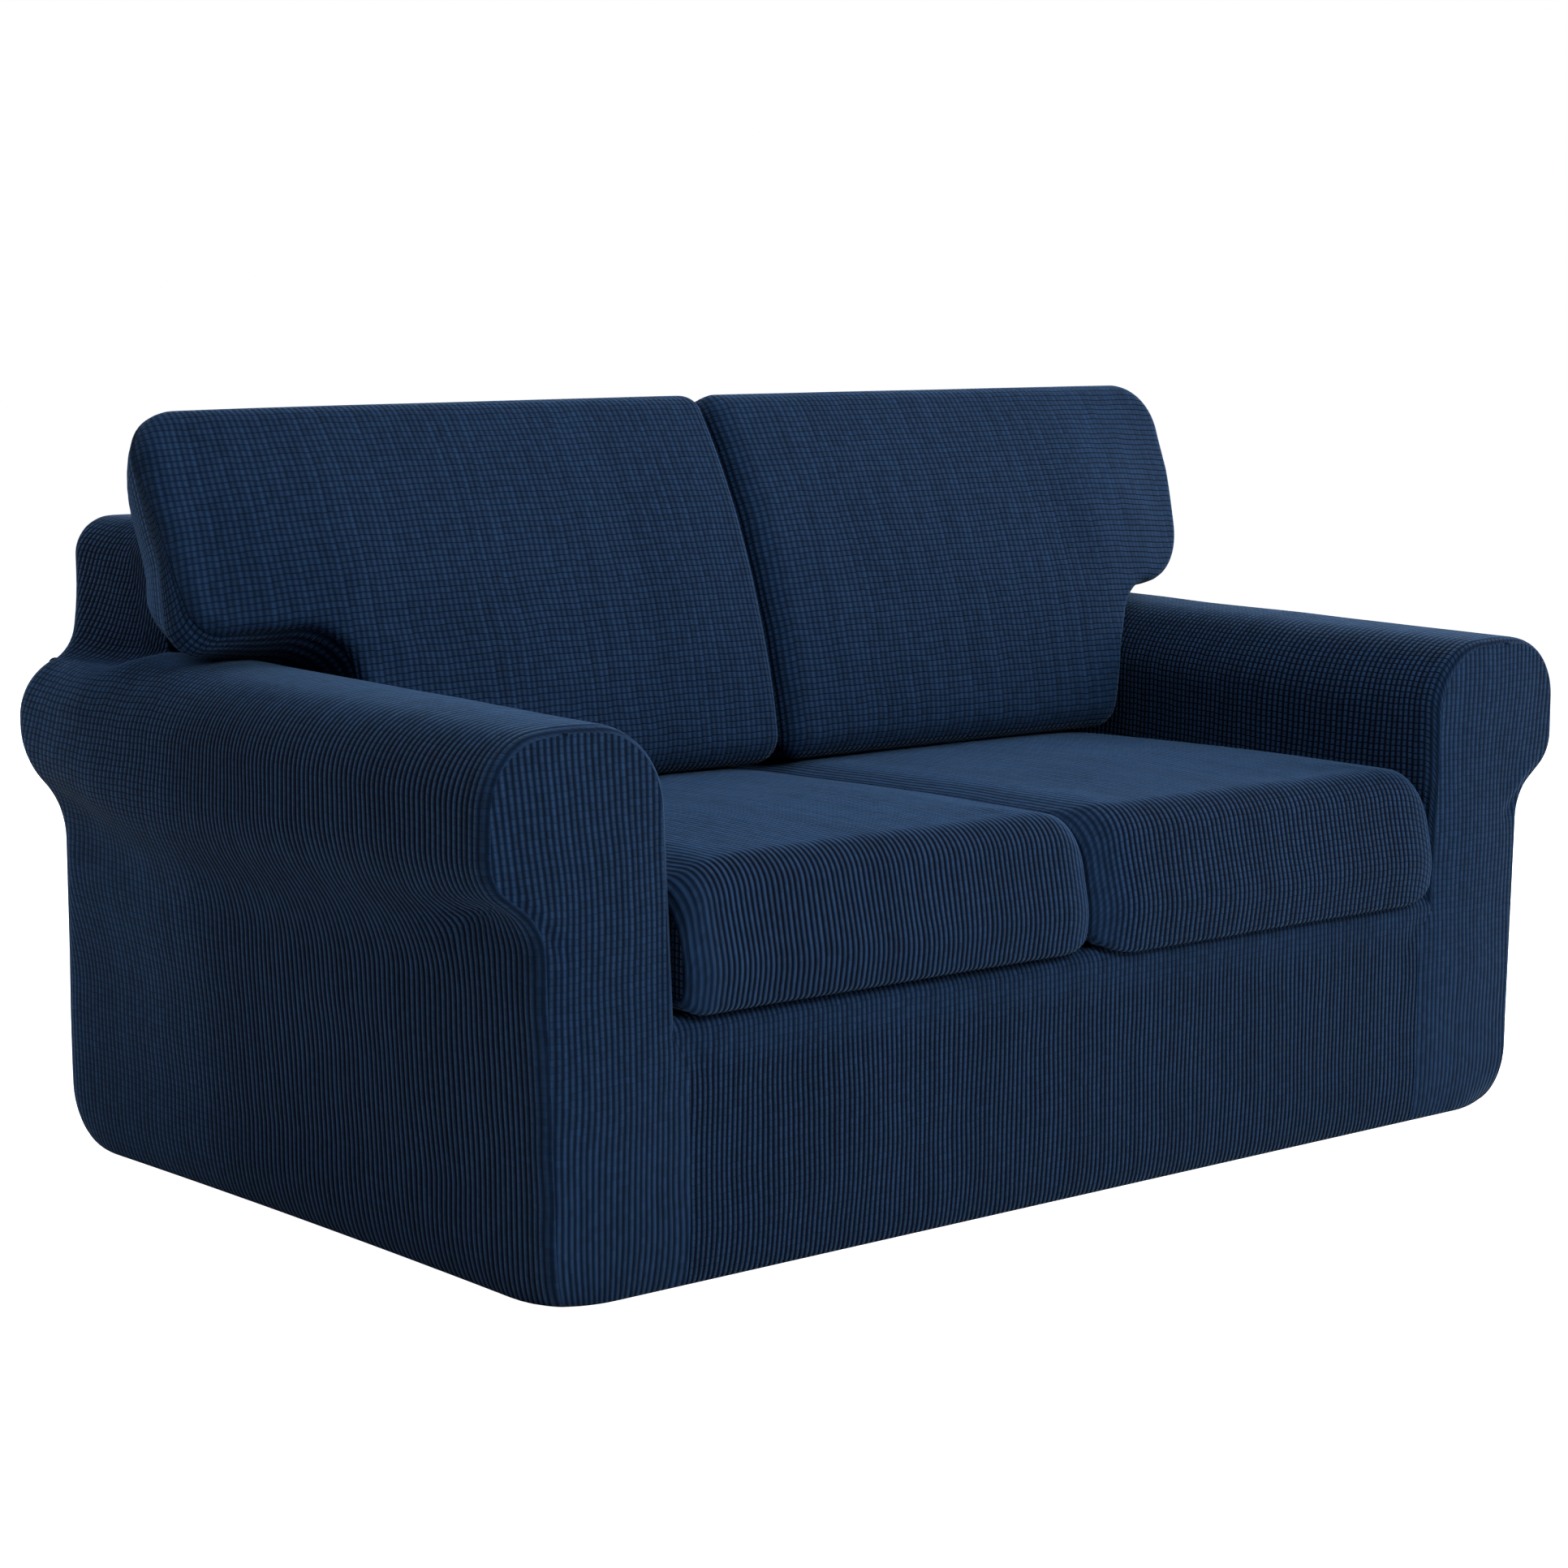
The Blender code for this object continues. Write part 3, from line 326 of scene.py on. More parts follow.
def bend(before, corner, after, reach, count):
    """count points of the arc that rounds a corner, starting and ending `reach` away from it."""
    if count == 1:
        return [corner]
    start = corner + unit(before - corner) * reach
    end = corner + unit(after - corner) * reach
    half_turn = np.linalg.norm(end - start) / (2 * reach)
    points = []
    for t in np.linspace(0, 1, count):
        weights = np.array([(1 - t) ** 2, 2 * half_turn * t * (1 - t), t**2])
        points.append((weights[0] * start + weights[1] * corner + weights[2] * end) / weights.sum())
    return points


def soft_line(corners):
    """The open line through corners (a, b, reach, points in the bend, points along the straight after it)."""
    places = [np.array(c[:2], float) for c in corners]
    last = len(corners) - 1
    runs = [[places[0]]]
    for i in range(1, last):
        runs.append(bend(places[i - 1], places[i], places[i + 1], corners[i][2], corners[i][3]))
    runs.append([places[last]])
    line = []
    for i, run in enumerate(runs):
        line.extend(run)
        if i < last:
            shares = np.arange(1, corners[i][4] + 1) / (corners[i][4] + 1)
            line.extend(run[-1] + (runs[i + 1][0] - run[-1]) * share for share in shares)
    return np.array(line)


def shrunk(corners, insets):
    """The corners of an open line, each of its straights moved to the right of its direction of travel."""
    places = np.array([c[:2] for c in corners], float)
    ways = np.diff(places, axis=0)
    ways /= np.linalg.norm(ways, axis=1, keepdims=True)
    inward = np.stack([ways[:, 1], -ways[:, 0]], axis=1)
    moved = [places[0] + insets[0] * inward[0]]
    for i in range(1, len(places) - 1):
        moved.append(places[i] + np.linalg.solve(inward[i - 1 : i + 1], insets[i - 1 : i + 1]))
    moved.append(places[-1] + insets[-1] * inward[-1])
    return [(*place, *corner[2:]) for place, corner in zip(moved, corners)]


def outward(points):
    """Unit normals of an open line in its plane, to the left of its direction of travel."""
    ahead = np.gradient(points, axis=0)
    normals = np.stack([-ahead[:, 1], ahead[:, 0]], axis=1)
    return normals / np.linalg.norm(normals, axis=1, keepdims=True)


def travelled(points, axis=0):
    """Distance along a line, or along each line of a grid, from its first point."""
    steps = np.linalg.norm(np.diff(points, axis=axis), axis=-1)
    start = np.zeros_like(np.take(steps, [0], axis=axis))
    return np.concatenate([start, np.cumsum(steps, axis=axis)], axis=axis)


def resampled(points, shares):
    """The line's points at these shares of its length."""
    along = travelled(points)
    return np.stack([np.interp(shares * along[-1], along, column) for column in points.T], axis=1)


def gathered(count, more=0.5):
    """count + 1 shares from 0 to 1, closer together at both ends."""
    even = np.linspace(0, 1, count + 1)
    return even - more * np.sin(2 * np.pi * even) / (2 * np.pi)


def across_cells(part):
    """Shares from 0 to 1 across a panel, closer together at its seams."""
    return gathered(CELLS[part], SEAM_PACKING)


def soft_edge(depth, inset, steps):
    """(distance along the depth, inset, distance along the cloth) from the seam to the soft edge's end."""
    angles = np.linspace(0, math.pi / 2, steps)
    rows = np.stack([depth * (1 - np.cos(angles)), inset * (1 - np.sin(angles))], axis=1)
    return np.column_stack([rows, travelled(rows)])


# ------------------------------------------------------------------ cloth


def grid_faces(rows, columns, kept, closed):
    """(row, column) of each cell that is kept, and its four corners' indices."""
    r, c = np.meshgrid(np.arange(rows - 1), np.arange(columns if closed else columns - 1), indexing="ij")
    inside = kept(r, c)
    r, c = r[inside], c[inside]
    after = (c + 1) % columns
    here, above = r * columns, (r + 1) * columns
    return r, c, np.stack([here + c, here + after, above + after, above + c], axis=1)


def uneven(points):
    """A smooth random field from -1 to 1, with waves some 0.1 to 0.3 m long."""
    source = np.random.default_rng(SEED)
    total = np.zeros(len(points))
    for wave in UNEVEN_WAVES:
        for _ in range(2):
            way = source.normal(size=3)
            way *= 2 * np.pi / (wave * np.linalg.norm(way))
            total += wave * np.sin(points @ way + source.uniform(0, 2 * np.pi))
    return total / UNEVEN_SPAN


def crease_depths(points, creases):
    """Height of soft ridges, or of troughs where it is below 0, along straight stretches.

    A crease is (start, end, half width, height); it fades towards both of its ends."""
    total = np.zeros(len(points))
    for start, end, width, height in creases:
        start, way = np.array(start), np.array(end) - np.array(start)
        share = ((points - start) @ way) / (way @ way)
        distance = np.linalg.norm(points - start - np.clip(share, 0, 1)[:, None] * way, axis=1)
        lasting = np.sin(np.pi * np.clip(CREASE_END + (1 - 2 * CREASE_END) * share, 0, 1))
        total += height * lasting * np.exp(-((distance / width) ** 2))
    return total


def placed(creases, place, side=1):
    """Creases of the right-hand side, given from a place, on either side."""
    moved = []
    for start, end, width, height in creases:
        start, end = ((np.array(point) + place) * (side, 1, 1) for point in (start, end))
        moved.append((start, end, width, height))
    return moved


def border_distance(points, faces):
    """Distance of each point from the part of the sheet's border above the floor."""
    edges = np.concatenate([faces[:, [k, (k + 1) % 4]] for k in range(4)])
    _, first, count = np.unique(np.sort(edges, axis=1), axis=0, return_index=True, return_counts=True)
    border = np.unique(edges[first[count == 1]])
    sewn = border[points[border, 2] > CLEAR]
    distance = np.full(len(points), np.inf)
    for start in range(0, len(sewn), BATCH):
        chunk = points[sewn[start : start + BATCH]]
        distance = np.minimum(distance, np.linalg.norm(points[:, None] - chunk, axis=-1).min(axis=1))
    return distance


def cloth_piece(
    context,
    name,
    points,
    cut,
    inside,
    creases=(),
    kept=None,
    closed=False,
    seam=PLAIN_SEAM,
    rows=None,
    ribs=None,
):
    """A sheet of knit from a grid of points and the same grid in its flat cut, for the CAD node `name`. Its
    edges are drawn in by this share of the seam depth. `inside` is a point within the cover, and `rows` and
    `ribs` give how strongly the rows across the ribs, and the ribs, show at each point, from 0 to 1."""
    cloth = context.scene.slipcover_cloth
    kept = kept or (lambda row, column: np.full(row.shape, True))
    r, c, faces = grid_faces(*points.shape[:2], kept, closed)
    cut = np.stack([cut[r, c], cut[r, c + 1], cut[r + 1, c + 1], cut[r + 1, c]], axis=1)
    used, faces = np.unique(faces, return_inverse=True)
    faces = faces.reshape(-1, 4)
    points = points.reshape(-1, 3)[used]
    quads = points[faces]
    areas = np.cross(quads[:, 2] - quads[:, 0], quads[:, 3] - quads[:, 1])
    if ((quads.mean(axis=1) - inside) * areas).sum() < 0:
        faces, cut = faces[:, ::-1], cut[:, ::-1]
    mesh = bpy.data.meshes.new(name + "_knit")
    mesh.from_pydata(points.tolist(), [], faces.tolist())
    layer = mesh.uv_layers.new(name="cut")
    layer.uv.foreach_set("vector", cut.astype(np.float32).ravel())
    normals = np.zeros(len(points) * 3, np.float32)
    mesh.vertices.foreach_get("normal", normals)
    normals = normals.reshape(-1, 3)
    distance = border_distance(points, faces)
    height = cloth.uneven * uneven(points) * smooth(distance / EDGE_CALM)
    height += crease_depths(points, creases) * smooth(distance / CREASE_CALM)
    height -= seam * cloth.seam_depth * np.exp(-((distance / cloth.seam_width) ** 2))
    height *= fade(points[:, 2], *FLOOR_CALM)
    points = points + normals * height[:, None]
    mesh.vertices.foreach_set("co", points.astype(np.float32).ravel())
    for label, plain in (("rows", rows), ("ribs", ribs)):
        shown = np.broadcast_to(plain(*points.T) if plain else 1.0, len(points))
        mesh.attributes.new(label, "FLOAT", "POINT").data.foreach_set("value", shown.astype(np.float32))
    mesh.shade_smooth()
    mesh.update()
    piece = bpy.data.objects.new(name + "_knit", mesh)
    context.scene.collection.objects.link(piece)
    for material in (knit_material(cloth), knit_back_material(cloth)):
        mesh.materials.append(material)
    thick = piece.modifiers.new("thickness", "SOLIDIFY")
    thick.thickness = cloth.thickness
    thick.offset = -1
    thick.material_offset = 1
    shell = bpy.data.meshes.new_from_object(piece.evaluated_get(context.evaluated_depsgraph_get()))
    shell.set_sharp_from_angle(angle=SHARP_ANGLE)
    piece.modifiers.clear()
    piece.data = shell
    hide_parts(name)
    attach(piece, "root")


# ------------------------------------------------------------------ base cover


def back_plane_y(z):
    """The sofa back's front face, behind the back cushions and as steep as they are."""
    return FACE_FOOT_Y + (CUSHION_DEPTH + CLEAR) / math.cos(LEAN) + (z - FACE_FOOT_Z) * math.tan(LEAN)


def platform_z(base, y):
    """Height of the seat platform's cloth, which bends down over its front edge."""
    ahead = min(max(base.front + APRON_BEND - y, 0.0), APRON_BEND)
    return base.deck - APRON_BEND + math.sqrt(APRON_BEND**2 - ahead**2)


def ear_front(base):
    """y where the end of the back starts, at the crease."""
    return back_plane_y(base.arm_top + CREASE_RISE)


def rear_roll(base, behind):
    """Corner above the outer side of the roll, beside the back's end."""
    smaller = REAR_SMALLER * smooth(behind)
    return base.roll - smaller, base.arm_top + CREASE_RISE - OUTER_DROP - REAR_DROP * smaller


def crease_point(base, behind):
    """Where the arm's top meets the back's end, and that end's foot in line with the roll and the crease.
    That corner is rounded out more and more behind the back's front."""
    there = smooth(behind / FILLET_SHARE)
    out, up = np.array(FILLET) * there
    crease = np.array([EAR_X + out, base.arm_top + CREASE_RISE + up])
    foot_x = EAR_X + EAR_FLARE[0] * there
    roll = rear_roll(base, behind)
    foot = crease + (crease - roll) * (crease[0] - foot_x) / (roll[0] - crease[0])
    return crease, foot


def drawn_in(base, points):
    """The base cover's cloth near the floor, pulled in by the elastic in its hem."""
    x, y, z = np.moveaxis(points, -1, 0)
    low = 1 - np.sqrt(1 - np.clip(1 - z / HEM_HEIGHT, 0, 1) ** 2)
    from_side = HEM_X - np.abs(x)
    half_depth = (base.back - base.front) / 2
    middle = (base.front + base.back) / 2
    bow_side = base.hem_pull + HEM_IN_MIDDLE * (1 - ((y - middle) / half_depth) ** 2)
    pull_x = bow_side * smooth(1 - from_side / SIDE_FADE)
    pull_y = np.zeros_like(y)
    for label, way, from_end in (("front", 1, y - base.front), ("back", -1, base.back - y)):
        pull = CORNER_IN[label]
        near = np.clip(1 - np.maximum(from_side + from_end, 0) / (CORNER_SPREAD * pull), 0, 1) ** 2
        pull_x = pull_x + pull * near
        pull_y = pull_y + way * (pull * near + base.hem_pull * smooth(1 - from_end / SIDE_FADE))
    return np.stack([x - np.sign(x) * low * pull_x, y + low * pull_y, z], axis=-1)


# Index of the crease among the points of arm_line
CREASE = 1 + ARM_CELLS[0] + BEND_POINTS[0] + 1 + BEND_POINTS[1] // 2


def arm_line(base, y, inset=0.0):
    """Section of an arm at y, up its inner face, over the roll, in under it and down to the floor."""
    ear = ear_front(base)
    behind = (y - ear) / (base.back - ear)
    lift, tuck_lift, tuck_in = np.array(REAR_LOW) * fade(y, REAR_LOW_Y, base.back - REAR_LOW_Y)
    under = fade(y, base.front, *UNDER_ROUND)
    middle = smooth((y - base.front) / TUCK_RUNS[0]) * smooth((base.back - y) / TUCK_RUNS[1])
    out, down = np.array(TUCK_MIDDLE) * middle
    top = base.arm_top + CREASE_RISE * min((y - base.front) / (ear - base.front), 1.0)
    crease, outer = (EAR_X, top), (base.roll, top - OUTER_DROP)
    if behind > 0:
        (crease, _), outer = crease_point(base, behind), rear_roll(base, behind)
    outer_round = OUTER_ROUND - ROUND_LOSS[0] * (base.roll - outer[0]) - ROUND_LOSS[1] * (crease[0] - EAR_X)
    inner_points, crease_points, outer_points, low_points, tuck_points = BEND_POINTS
    corners = (
        # x, z, reach of its bend, points in it, points along the straight after it
        (ARM_FOOT_X, platform_z(base, y), 0, 1, ARM_CELLS[0]),
        (ARM_INNER_X, top - INNER_DROP, INNER_ROUND, inner_points, 1),
        (*crease, fade(ear - y, 0.0, *CREASE_REACH), crease_points, 1),
        (*outer, outer_round, outer_points, 2),
        (outer[0], ROLL_LOW_Z + lift, under, low_points, 1),
        (TUCK[0] - tuck_in + out, TUCK[1] + tuck_lift + down, under, tuck_points, ARM_CELLS[1]),
        (HEM_X + SIDE_FLARE, HEM_TOP, 0, 1, 0),
    )
    hem = [(HEM_X + SIDE_FLARE * smooth(z / HEM_TOP), z) for z in HEM_ROWS[1:]]
    line = np.concatenate([soft_line(corners), hem])
    normals = outward(line)
    if behind > 0:
        way = unit(np.subtract(outer, crease))
        normals[CREASE] = (-way[1], way[0])
    return line - inset * normals


def depth_stations(base):
    """(y, inset, distance along the cloth from the front) for each section of an arm, and the index of the
    one at the back's end."""
    ear = ear_front(base)
    front = soft_edge(*FRONT_EDGE, ROWS["arm_edge"])
    rear = soft_edge(*BACK_EDGE, ROWS["rear_edge"])
    rows = [(base.front + along, inset, FRONT_EDGE[0] - front[-1, 2] + run) for along, inset, run in front]
    middle = np.linspace(base.front + FRONT_EDGE[0], ear, ROWS["arm_beside_seat"])[1:]
    behind = np.linspace(ear, base.back - BACK_EDGE[0], ROWS["arm_beside_back"])[1:]
    rows += [(y, 0.0, y - base.front) for y in (*middle, *behind)]
    end = rows[-1][2] + rear[-1, 2]
    rows += [(base.back - along, inset, end - run) for along, inset, run in reversed(rear[:-1])]
    return rows, len(front) + len(middle) - 1


# Soft pulls of the cloth where the arm's roll runs in under the back's end, and where it is tucked in
ARM_CREASES = (
    # start and end, with y from the back's end and z from the arm's top; half width, height
    ((0.752, 0.010, 0.006), (0.812, -0.120, -0.020), 0.010, 0.0016),
    ((0.756, 0.045, 0.002), (0.830, -0.020, -0.060), 0.011, -0.0014),
    ((0.760, 0.080, -0.004), (0.832, 0.040, -0.080), 0.010, 0.0013),
    ((0.833, -0.380, -0.100), (0.826, -0.060, -0.150), 0.022, -0.0012),
    ((0.800, -0.735, -0.182), (0.770, -0.600, -0.225), 0.016, -0.0085),
    ((0.826, -0.735, -0.160), (0.800, -0.560, -0.175), 0.016, 0.0030),
)


def rib_run(run):
    """Distance along the arm as the ribs count it: they stand further apart towards the rear."""
    start, over, share = REAR_STRETCH
    t = np.clip((run - start) / over, 0, 1)
    return run - share * (over * t**2 / 2 + np.maximum(run - start - over, 0))


def rib_scale(context, part):
    """How much of the cloth's width is cut for each metre across the ribs there."""
    return context.scene.slipcover_cloth.rib / PITCH[part]


def make_arm(context, label, side):
    """One arm: its inner face, the roll and its outer side, with the outer side going on to the back."""
    base = context.scene.slipcover_base
    rows, at_ear = depth_stations(base)
    ear = ear_front(base)
    scale = rib_scale(context, "arm")
    points, cut = [], []
    for i, (y, inset, run) in enumerate(rows):
        line = arm_line(base, y, inset)
        ys = np.full(len(line), y)
        runs = np.full(len(line), run)
        if i <= at_ear:
            share = (y - base.front) / (ear - base.front)
            ys[:CREASE] = base.front + share * (back_plane_y(line[:CREASE, 1]) - base.front)
            runs[:CREASE] += ys[:CREASE] - y
        height = travelled(line[::-1])[::-1]
        runs += fade(height, *STRETCH_HEIGHT) * (rib_run(runs) - runs)
        lean = fade(ys, *RIB_LEAN) * fade(height, *LEAN_HEIGHT)
        points.append(np.stack([line[:, 0], ys, line[:, 1]], axis=1))
        cut.append(np.stack([(runs + lean) * scale, height / STRETCH_ALONG], axis=1))
    along, up = ARM_ROWS
    from_front, from_middle = ARM_RIBS
    cloth_piece(
        context,
        "arm_" + label,
        drawn_in(base, np.array(points) * (side, 1, 1)),
        np.array(cut),
        inside=(side * ARM_MIDDLE_X, 0.0, 0.30),
        creases=placed(ARM_CREASES, (0.0, ear, base.arm_top), side),
        rows=lambda x, y, z: fade(y, *along) * fade(z, *up) if label == "left" else 1.0,
        ribs=lambda x, y, z: fade(y - base.front, *from_front) * fade(y, *from_middle),
        seam=ARM_SEAM,
        kept=lambda row, column: (row < at_ear) | (column >= CREASE),
    )


NEARLY_MET = 0.998  # how far along their lines the two edges of an arm's front go, so that they don't cross

# The fold of an arm's front where the cloth is tucked in under the roll
ARM_FRONT_CREASES = (
    # start and end, with y from the arm's front; half width, height
    ((0.800, 0.0, 0.415), (0.735, 0.0, 0.372), 0.010, -0.0040),
    ((0.800, 0.0, 0.440), (0.745, 0.0, 0.400), 0.012, 0.0030),
)


def front_edges(base):
    """The two edges of an arm's front panel, from the floor up to where they meet on top of the roll."""
    line = arm_line(base, base.front, FRONT_EDGE[1] - GAP)
    seam = APRON_X - GAP
    upper, lower = line[0, 1] - np.array(SEAM_STEP)
    step = [(seam, HEM_TOP), (seam, lower), (seam + SEAM_STEP_X, upper), line[0]]
    pieces = [np.array([(seam, z) for z in HEM_ROWS[::-1]])]
    for ends, count in zip(zip(step[:-1], step[1:]), SEAM_STEP_CELLS):
        pieces.append(resampled(np.array(ends), np.linspace(0, 1, count + 1)[1:]))
    pieces.append(resampled(line[: CREASE + 1], np.linspace(0, NEARLY_MET, ROWS["arm_front"])[1:]))
    inner = np.concatenate(pieces)
    outer = line[CREASE:][::-1]
    low = len(HEM_ROWS)
    shares = NEARLY_MET * travelled(inner[low - 1 :])[1:] / travelled(inner[low - 1 :])[-1]
    return inner, np.concatenate([outer[:low], resampled(outer[low - 1 :], shares)])


def make_arm_front(context, label, side):
    """Front panel of an arm, a little proud in its middle, with its ribs fanning out to the roll."""
    base = context.scene.slipcover_base
    inner, outer = front_edges(base)
    across = across_cells("arm_front")
    widths, heights = np.moveaxis(inner[:, None] + (outer - inner)[:, None] * across[None, :, None], -1, 0)
    foot, top = (fade(heights, *where) for where in PROUD_HEIGHTS)
    proud = FRONT_PROUD * (1 - (2 * across - 1) ** 2)[None, :] * foot * top
    points = np.stack([side * widths, base.front - proud, heights], axis=-1)
    fan = FRONT_FAN * fade(heights, *FAN_HEIGHT) * np.clip((widths - FAN_X[0]) / FAN_X[1], 0, 1)
    scale = rib_scale(context, "arm_front") / (1 + FRONT_FAN / FAN_X[1])
    cloth_piece(
        context,
        "arm_front_" + label,
        drawn_in(base, points),
        np.stack([side * (widths + fan) * scale, heights / STRETCH_ALONG], axis=-1),
        inside=(side * ARM_MIDDLE_X, 0.0, 0.30),
        creases=placed(ARM_FRONT_CREASES, (0.0, base.front, 0.0), side),
        rows=lambda x, y, z: fade(z, *ARM_FRONT_ROWS),
        ribs=lambda x, y, z: ARM_FRONT_RIBS[label],
        seam=ARM_SEAM,
    )


def platform_rows(base):
    """(y, z, half width) from the platform's back edge over its front edge to the floor."""
    flat = np.linspace(back_plane_y(base.deck) - GAP, PLATFORM_EDGE_Y, ROWS["platform"])
    rows = [(y, base.deck, ARM_FOOT_X - GAP) for y in flat]
    for along, inset, _ in reversed(soft_edge(*FRONT_EDGE, ROWS["platform_edge"])):
        y = base.front + along
        rows.append((y, platform_z(base, y), ARM_FOOT_X + inset - GAP))
    foot = base.deck - APRON_BEND
    below = foot - SEAM_STEP[1]
    seam = (
        # z, x, up from the floor
        (0.0, APRON_X),
        (below, APRON_X),
        (foot - SEAM_STEP[0], APRON_X + SEAM_STEP_X - GAP),
        (foot, ARM_FOOT_X + FRONT_EDGE[1] - GAP),
    )
    step = np.linspace(foot, below, ROWS["apron_step"])[1:]
    heights = [*step, *np.linspace(below, HEM_TOP, ROWS["apron"])[1:], *HEM_ROWS[1:]]
    widths = np.interp(heights, *zip(*seam))
    return rows + [(base.front, z, x) for z, x in zip(heights, widths)]


def level_panel(context, part, rows):
    """Grid of points of a panel whose rows (y, z, half width) run level, the width cut at each point and the
    length of cloth from the first row to each row."""
    across = 2 * across_cells(part) - 1
    points = np.array([[(x * width, y, z) for x in across] for y, z, width in rows])
    return points, points[..., 0] * rib_scale(context, part), travelled(points[:, len(across) // 2])


def level_cut(widths, lengths):
    """The flat cut of such a panel."""
    return np.stack([widths, np.repeat(lengths[:, None], widths.shape[1], 1) / STRETCH_ALONG], axis=-1)


APRON_PUCKERS = (
    # start and end, with y from the apron; half width, height
    ((0.586, 0.0, 0.262), (0.550, 0.0, 0.215), 0.007, -0.0012),
    ((0.575, 0.0, 0.268), (0.530, 0.0, 0.245), 0.008, 0.0010),
)
APRON_PULLS = (
    ((-0.33, 0.0, 0.25), (-0.31, 0.0, 0.03), 0.050, 0.0014),
    ((0.21, 0.0, 0.25), (0.23, 0.0, 0.03), 0.050, -0.0014),
)


def make_platform_apron(context):
    """Seat platform and front apron in one length, with a small pucker at each upper end of the apron."""
    base = context.scene.slipcover_base
    points, widths, length = level_panel(context, "apron", platform_rows(base))
    front = (0.0, base.front, 0.0)
    creases = placed(APRON_PULLS, front)
    for _, side in SIDES:
        creases += placed(APRON_PUCKERS, front, side)
    cloth_piece(
        context,
        "seat_deck_apron",
        drawn_in(base, points),
        level_cut(widths, length[-1] - length),
        inside=(0, 0, 0.1),
        creases=creases,
        seam=APRON_SEAM,
        rows=lambda x, y, z: APRON_ROWS,
        ribs=lambda x, y, z: fade(z, *APRON_RIBS),
    )


def ear_line(base, behind, inset=0.0):
    """Section of the back's end from the crease up its face and over its top."""
    crease, foot = crease_point(base, behind)
    foot[1] = max(foot[1], crease[1] + EAR_FOOT_RISE)
    corners = (
        # x, z, reach of its bend, points in it, points along the straight after it
        (*crease, 0, 1, 1),
        (*foot, EAR_FOOT_ROUND * np.linalg.norm(foot - crease), 9, 3),
        (EAR_X, crease[1] + EAR_FLARE[1], EAR_FLARE_ROUND, 5, 3),
        (EAR_X, base.back_top, EAR_ROUND, 15, 4),
        (TOP_SEAM_X + GAP, base.back_top, 0, 1, 0),
    )
    line = soft_line(corners)
    normals = outward(line)
    way = unit(rear_roll(base, behind) - crease)
    normals[0] = (way[1], -way[0])
    return line + inset * normals


BACK_END_CREASES = (
    # start and end, with y from the back's end; half width, height
    ((EAR_X, 0.05, 0.64), (EAR_X, 0.16, 0.72), 0.012, 0.0012),
    ((EAR_X, 0.09, 0.63), (EAR_X, 0.19, 0.66), 0.010, -0.0012),
)


def make_ear(context, label, side):
    """End of the sofa's back, above the arm."""
    base = context.scene.slipcover_base
    rows, at_ear = depth_stations(base)
    ear = ear_front(base)
    scale = rib_scale(context, "back_end")
    clear = (context.scene.slipcover_cloth.thickness + GAP) / math.cos(LEAN)
    points, cut = [], []
    for y, inset, run in rows[at_ear:]:
        behind = (y - ear) / (base.back - ear)
        line = ear_line(base, behind, inset)
        start = back_plane_y(line[:, 1]) + clear
        start += EAR_EASE * np.maximum(0.0, EAR_X - line[:, 0]) / (EAR_X - TOP_SEAM_X)
        start[0] = ear
        ys = start + behind * (base.back - start)
        points.append(np.stack([side * line[:, 0], ys, line[:, 1]], axis=1))
        height = travelled(line)
        across = rib_run(run + ys - y) + fade(y, *RIB_LEAN) + EAR_LEAN * height
        cut.append(np.stack([across * scale, height / STRETCH_ALONG], axis=1))
    creases = placed(BACK_END_CREASES, (0.0, ear, 0.0), side)
    inside = (side * 0.66, 0.40, 0.66)
    cloth_piece(context, "back_end_" + label, np.array(points), np.array(cut), inside, creases)


def make_inside_back(context):
    """Front of the sofa's back behind the cushions, and its top as far as the rear seam."""
    base = context.scene.slipcover_base
    beside = arm_line(base, ear_front(base), -GAP)[1 : CREASE + 1]
    edge = [(ARM_FOOT_X - GAP, base.deck + GAP), *beside, *ear_line(base, 0.0)[4:-5]]
    rows = [(back_plane_y(z), z, x) for x, z in edge]
    rows.append((back_plane_y(base.back_top) + TOP_FOLD, base.back_top, TOP_SEAM_X))
    top = np.linspace(rows[-1][0], base.back - BACK_EDGE[0], ROWS["back_top"])[1:]
    rows += [(y, base.back_top, TOP_SEAM_X) for y in top]
    for along, inset, _ in reversed(soft_edge(*BACK_EDGE, ROWS["rear_edge"])[:-1]):
        rows.append((base.back - along, base.back_top - inset, TOP_SEAM_X))
    points, widths, length = level_panel(context, "inside_back", rows)
    cloth_piece(context, "inside_back", points, level_cut(widths, length), inside=(0, 0.44, 0.55))


OUTSIDE_BACK_CREASES = (
    # start and end, with y from the outside back; half width, height
    ((-0.60, 0.0, 0.60), (-0.30, 0.0, 0.45), 0.030, 0.0018),
    ((0.62, 0.0, 0.60), (0.28, 0.0, 0.40), 0.035, 0.0018),
    ((-0.74, 0.0, 0.42), (-0.55, 0.0, 0.50), 0.014, -0.0016),
    ((0.74, 0.0, 0.42), (0.57, 0.0, 0.49), 0.014, -0.0016),
    ((-0.10, 0.0, 0.66), (0.30, 0.0, 0.63), 0.050, -0.0016),
)


